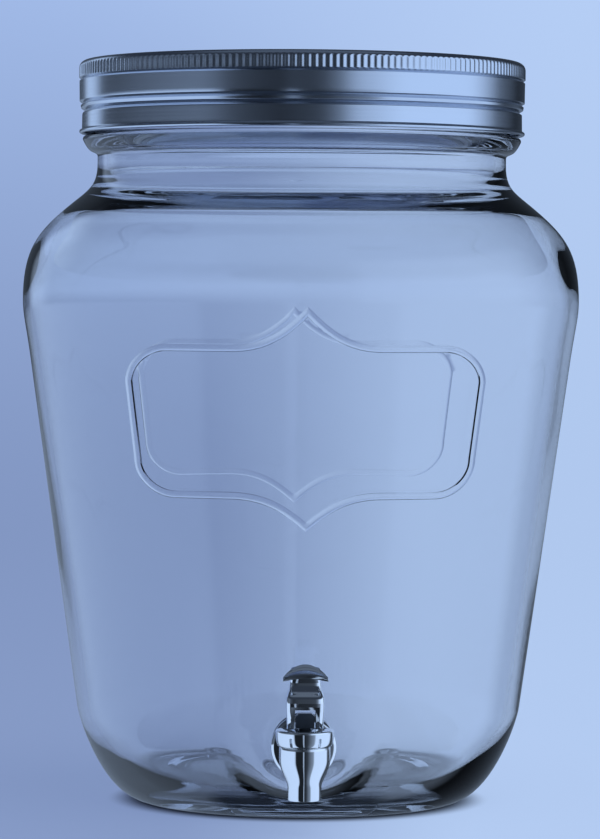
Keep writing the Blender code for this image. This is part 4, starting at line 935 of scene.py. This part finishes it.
# %% Model the stem
stem_section = [(0, 0.0286), (0.0020, 0.0286), (0.0022, 0.0288), (0.0022, 0.0296), (0.0020, 0.0298)]
stem_section += [(0.0013, 0.0298), (0.0013, 0.0315), (0.0045, 0.0315), (0.0047, 0.0317), (0.0047, 0.0325)]
stem_section += [(0.0045, 0.0327), (0.0025, 0.0327), (0.0025, 0.0486), (0, 0.0486)]
stem = turn("valve_stem_rod", stem_section, 64, tap_foot)
head = block("head_tool", (-0.0039, -0.0032, -0.0036), (0.0039, 0.0032, 0.0024))


def on_top_corner(edge):
    """Whether an edge of the head runs from front to back along its top."""
    ends = [head.data.vertices[i].co for i in edge.vertices]
    return min(end.z for end in ends) > PIN_HEIGHT and abs(ends[0].y - ends[1].y) > 0.001


choose(head, "EDGE", on_top_corner)
bpy.ops.mesh.bevel(offset=0.0011, segments=1, affect="EDGES")
bpy.ops.object.mode_set(mode="OBJECT")
boolean(stem, head, "UNION")
drill(stem, pin_hole, pin_centre, RIGHT, UP, 48)
soften_edges(stem, 0.00015, 2, 50)
finish_piece(stem, plastic, "stem", "valve_stem", 32)

# %% Turn the pin
pin_section = [(0, -0.0075), (0.0010, -0.0075)] + rounding((0.0010, -0.0072), 0.0003, -90, 0, 3)[1:]
pin_section += rounding((0.0010, 0.0072), 0.0003, 0, 90, 3) + [(0, 0.0075)]
pin = turn("lever_pin_rod", pin_section, 48, pin_centre, RIGHT, UP)
finish_piece(pin, steel, "stem", "lever_pin")

# %% [markdown]
# ### Washers and nut
#
# Two soft washers and a flanged nut clamp the shank to the glass. They show through the jar from behind
# and from the sides, so the nut is a true hexagon with bevelled corners on a round flange.

# %% Turn the washers
def washer(name, radius, back, front, stands_for):
    """A flat soft ring with rounded edges on the shank."""
    section = [(0.0073, front), (0.0073, back)]
    section += rounding((radius - 0.0003, back + 0.0003), 0.0003, -90, 0, 3)
    section += rounding((radius - 0.0003, front - 0.0003), 0.0003, 0, 90, 3)
    ring = turn(name, section, FINE_STEPS, shank_foot, FORWARD)
    finish_piece(ring, silicone, "root", stands_for)


washer("outer_seal_washer", 0.0132, 0.1025, 0.1043, "outer_washer")
washer("inner_seal_washer", 0.0126, 0.0951, 0.0969, "inner_washer")

# %% Model the nut
flange_section = [(0, 0.0932), (0.0132, 0.0932), (0.0136, 0.0936)]
flange_section += [(0.0136, 0.0944), (0.0132, 0.0948), (0, 0.0948)]
nut = turn("shank_hexagon_nut", flange_section, FINE_STEPS, shank_foot, FORWARD)
only_select(None)
bpy.ops.mesh.primitive_cylinder_add(
    vertices=6,
    radius=0.0105 / math.cos(math.pi / 6),
    depth=0.0062,
    location=shank_foot + FORWARD * 0.0909,
    rotation=(math.pi / 2, 0, 0),
)
hexagon = bpy.context.object
bpy.ops.object.transform_apply()
soften_edges(hexagon, 0.0006, 3)
boolean(nut, hexagon, "UNION")
bore_section = [(0, 0.0850), (0.0073, 0.0850), (0.0073, 0.0980), (0, 0.0980)]
drill(nut, bore_section, shank_foot, FORWARD)
finish_piece(nut, plastic, "root", "shank_nut")

# %% [markdown]
# ### Seat cup and spring
#
# Inside the body a silicone cup with a cone under it shuts the outlet, and a wound spring holds it down.
# Their rims stay under the bonnet's roof while the stem lifts their lower ends.

# %% Turn the seat cup
cup_section = [(0, 0.02702), (0.0042, 0.02702), (0.0044, 0.0271), (0.0060, 0.02862), (0.0060, 0.0410)]
cup_section += [(0.0060, 0.0413), (0.0094, 0.0413), (0.0096, 0.0415), (0.0096, 0.0421), (0.0094, 0.0423)]
cup_section += [(0.0052, 0.0423), (0.0052, 0.0318), (0.0046, 0.0312), (0.0016, 0.0312), (0.0016, 0.0301)]
cup_section += [(0.0025, 0.0301), (0.0025, 0.0283), (0, 0.0283)]
cup = turn("valve_seat_cup", cup_section, 64, tap_foot)
finish_piece(cup, silicone, None, "seat_cup")
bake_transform(cup)

# %% Wind the spring
coil_points = []
for i in range(161):
    angle = math.tau * i / 32
    lift = 0.03335 + (0.04195 - 0.03335) * i / 160
    coil_points.append(tap_foot + Vector((0.0034 * math.cos(angle), 0.0034 * math.sin(angle), lift)))
coil = walk("return_spring_coil", coil_points, False)
bpy.ops.object.mode_set(mode="OBJECT")
bpy.ops.object.convert(target="CURVE")
coil.data.bevel_depth = 0.00035
coil.data.bevel_resolution = 4
coil.data.use_fill_caps = True
bpy.ops.object.convert(target="MESH")
finish_piece(coil, steel, None, "return_spring")
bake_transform(coil)

# %% [markdown]
# ## The stage
#
# The object stands on a pale floor that rises far behind it without an edge. Floor and far wall are turned
# discs, so that the glass has something behind it from every side. They are hidden from glossy rays, so
# the metal mirrors the bands of the world below and not the floor.

# %% Backdrop colours
# The backdrop glows by itself, dimmer to the left and a little brighter upwards, which paints uneven light on
# it. From left to right its tone follows an angle round the camera's place, so it looks as meant only in the
# front view: a plain gradient along X would be the cleaner choice. The four corner colours follow tones of
# the photograph.
LEFT_LOW = (0.210, 0.288, 0.510)
LEFT_HIGH = (0.335, 0.460, 0.755)
RIGHT_LOW = (0.420, 0.558, 0.825)
RIGHT_HIGH = (0.448, 0.595, 0.880)
FAN_MIDDLE = 0.0245
FAN_REACH = 0.085
LOW_FAN = (-0.038, 0.047)
CAMERA_PLACE = Vector((-0.043, -1.7545, 0.225))
backdrop, shader = new_finish("pale_backdrop", (0.10, 0.11, 0.13), 0.9)
shader.inputs["Specular IOR Level"].default_value = 0.0


def number_node(finish, operation, first, second):
    """A Math node on two sockets or numbers."""
    node = add_node(finish, "ShaderNodeMath")
    node.operation = operation
    for socket, value in zip(node.inputs, (first, second)):
        if isinstance(value, (int, float)):
            socket.default_value = value
        else:
            link(finish, value, socket)
    return node.outputs["Value"]


def share_node(finish, value, start, end, soft=False):
    """How far a value has come from a start to an end, from 0 to 1."""
    node = add_node(finish, "ShaderNodeMapRange", From_Min=start, From_Max=end)
    if soft:
        node.interpolation_type = "SMOOTHSTEP"
    link(finish, value, node.inputs["Value"])
    return node.outputs["Result"]


def colour_between(finish, share, first, second):
    """A colour between two, each a socket or numbers, by a share."""
    node = add_node(finish, "ShaderNodeMixRGB")
    link(finish, share, node.inputs["Fac"])
    for socket, value in zip((node.inputs["Color1"], node.inputs["Color2"]), (first, second)):
        if isinstance(value, tuple):
            socket.default_value = (*value, 1)
        else:
            link(finish, value, socket)
    return node.outputs["Color"]


# %% Backdrop nodes
where = add_node(backdrop, "ShaderNodeTexCoord")
sides = add_node(backdrop, "ShaderNodeSeparateXYZ")
link(backdrop, where.outputs["Object"], sides.inputs["Vector"])
# Painted light: the glow grows from left to right and upwards, as uneven light on the backdrop.
right_of_lens = number_node(backdrop, "ADD", sides.outputs["X"], -CAMERA_PLACE.x)
ahead_of_lens = number_node(backdrop, "ADD", sides.outputs["Y"], -CAMERA_PLACE.y - jar_foot.y)
fan = number_node(backdrop, "ARCTAN2", right_of_lens, ahead_of_lens)
to_right = share_node(backdrop, fan, FAN_MIDDLE - FAN_REACH, FAN_MIDDLE + FAN_REACH, True)
upwards = share_node(backdrop, sides.outputs["Z"], 0.0, 0.67)
low_to_right = share_node(backdrop, fan, FAN_MIDDLE + LOW_FAN[0], FAN_MIDDLE + LOW_FAN[1], True)
low_glow = colour_between(backdrop, low_to_right, LEFT_LOW, RIGHT_LOW)
high_glow = colour_between(backdrop, to_right, LEFT_HIGH, RIGHT_HIGH)
link(backdrop, colour_between(backdrop, upwards, low_glow, high_glow), shader.inputs["Emission Color"])
# Within 7 to 8.7 cm of the jar's axis the glow fades nearly to nothing: a painted contact shadow under the
# jar.
beyond_foot = number_node(backdrop, "SUBTRACT", sides.outputs["Y"], jar_foot.y)
off_axis = number_node(backdrop, "POWER", sides.outputs["X"], 2.0)
off_axis = number_node(backdrop, "ADD", off_axis, number_node(backdrop, "POWER", beyond_foot, 2.0))
off_axis = number_node(backdrop, "SQRT", off_axis, 0.0)
painted_contact_shadow = share_node(backdrop, off_axis, 0.070, 0.087, True)
painted_contact_shadow = number_node(backdrop, "MULTIPLY_ADD", painted_contact_shadow, 0.97)
painted_contact_shadow.node.inputs[2].default_value = 0.03
link(backdrop, painted_contact_shadow, shader.inputs["Emission Strength"])

# %% Floor and sweep
FLOOR_LEVEL = -0.0002
floor_edge = (1.5, FLOOR_LEVEL)
floor_section = [(0, FLOOR_LEVEL)] + straight((0, FLOOR_LEVEL), floor_edge, 12)
floor = turn("studio_floor", floor_section, FINE_STEPS, closed=False)
floor.data.materials.append(backdrop)
sweep_section = [floor_edge] + bend(floor_edge, (3.6, FLOOR_LEVEL), (4.5, 0.4), (4.5, 2.2), 24)
sweep = turn("studio_sweep", sweep_section, FINE_STEPS, closed=False)
sweep.data.materials.append(backdrop)
for sheet in (floor, sweep):
    only_select(sheet)
    bpy.ops.object.shade_smooth()
    sheet.visible_glossy = False
sweep.visible_diffuse = False
sweep.visible_shadow = False
print("the sweep reaches out to", sweep.dimensions.x / 2)

# %% [markdown]
# ### Light
#
# The photograph's reflections tell the room: dark behind the camera, a broad bright window to the right, a
# narrow bright one behind to the left, and a dark ceiling. The world carries these as bands round the
# horizon, with others below it for what the low polished tap mirrors. Their brightness was set by hand
# after tones of the photograph and adjusted against renders.

# %% World of bands
# degrees round from the camera's side, positive to the right, and brightness
ROOM_BANDS = (
    (-180, 0.10), (-154, 0.12), (-147, 1.00), (-136, 0.95), (-126, 0.12), (-111, 0.10),
    (-87, 0.15), (-55, 0.22), (-33, 0.10), (-11, 0.04), (9, 0.09), (18, 0.28),
    (27, 0.85), (52, 1.20), (95, 1.20), (104, 0.90), (120, 0.20), (145, 0.03),
    (180, 0.10),
)
# the same for what a mirror sees below the horizon
TABLE_BANDS = (
    (-180, 0.30), (-150, 0.60), (-130, 1.00), (-52, 1.05), (-46, 0.90), (-41, 0.02),
    (-9, 0.02), (-8, 0.60), (-4, 0.60), (-3, 0.02), (12, 0.06), (38, 0.38),
    (44, 1.05), (112, 1.10), (124, 0.05), (180, 0.30),
)
world = bpy.data.worlds.new("studio")
bpy.context.scene.world = world
world.use_nodes = True
nodes = world.node_tree.nodes
direction = add_node(world, "ShaderNodeTexCoord")
parts = add_node(world, "ShaderNodeSeparateXYZ")
link(world, direction.outputs["Generated"], parts.inputs["Vector"])
to_front = number_node(world, "MULTIPLY", parts.outputs["Y"], -1.0)
turned_to = number_node(world, "ARCTAN2", parts.outputs["X"], to_front)
round_share = share_node(world, turned_to, -math.pi, math.pi)


def band_ramp(bands):
    """Brightness round the horizon as a colour ramp."""
    ramp = add_node(world, "ShaderNodeValToRGB")
    elements = ramp.color_ramp.elements
    while len(elements) < len(bands):
        elements.new(0.5)
    for element, (degrees, brightness) in zip(elements, bands):
        element.position = (degrees + 180) / 360
        element.color = (0.55 * brightness, 0.72 * brightness, 1.0 * brightness, 1)
    link(world, round_share, ramp.inputs["Fac"])
    return ramp.outputs["Color"]


below_horizon = share_node(world, parts.outputs["Z"], -0.02, -0.06, True)
around = colour_between(world, below_horizon, band_ramp(ROOM_BANDS), band_ramp(TABLE_BANDS))
to_ceiling = share_node(world, parts.outputs["Z"], 0.40, 0.58, True)
around = colour_between(world, to_ceiling, around, (0.030, 0.040, 0.060))
straight_down = share_node(world, parts.outputs["Z"], -0.86, -0.93, True)
around = colour_between(world, straight_down, around, (0.020, 0.028, 0.040))
overhead = share_node(world, parts.outputs["Z"], 0.80, 0.95, True)
around = colour_between(world, overhead, around, (0.10, 0.13, 0.18))
link(world, around, nodes["Background"].inputs["Color"])
nodes["Background"].inputs["Strength"].default_value = 1.0

# %% Soft lamps
def soft_lamp(name, place, size, power):
    """A square lamp aimed at the jar, which the camera doesn't see."""
    bpy.ops.object.light_add(type="AREA", location=place)
    lamp = bpy.context.object
    lamp.name = name
    lamp.data.size = size
    lamp.data.energy = power
    lamp.data.color = (0.80, 0.88, 1.0)
    lamp.rotation_euler = (Vector((0, 0, 0.17)) - lamp.location).to_track_quat("-Z", "Y").to_euler()
    lamp.visible_camera = False
    lamp.visible_glossy = False
    lamp.visible_transmission = False
    return lamp


soft_lamp("high_lamp", (0.3, -0.4, 1.9), 1.2, 12)

# %% [markdown]
# ## The camera
#
# The photograph is taken a little above the middle of the jar, from nearly two metres away, with a long
# lens: the lid's front edge sinks a little below its back edge, and the floor isn't seen to recede.

# %% Camera
bpy.ops.object.camera_add(location=jar_foot + CAMERA_PLACE)
camera = bpy.context.object
aim = jar_foot + Vector((0, 0, 0.171)) - camera.location
camera.rotation_euler = aim.to_track_quat("-Z", "Y").to_euler()
camera.rotation_euler.rotate_axis("Z", math.radians(0.4))
camera.data.lens = 167
camera.data.sensor_width = 36
camera.data.clip_end = 40
bpy.context.scene.camera = camera
bpy.context.scene.view_settings.view_transform = "Standard"
print("camera aims", aim.normalized())
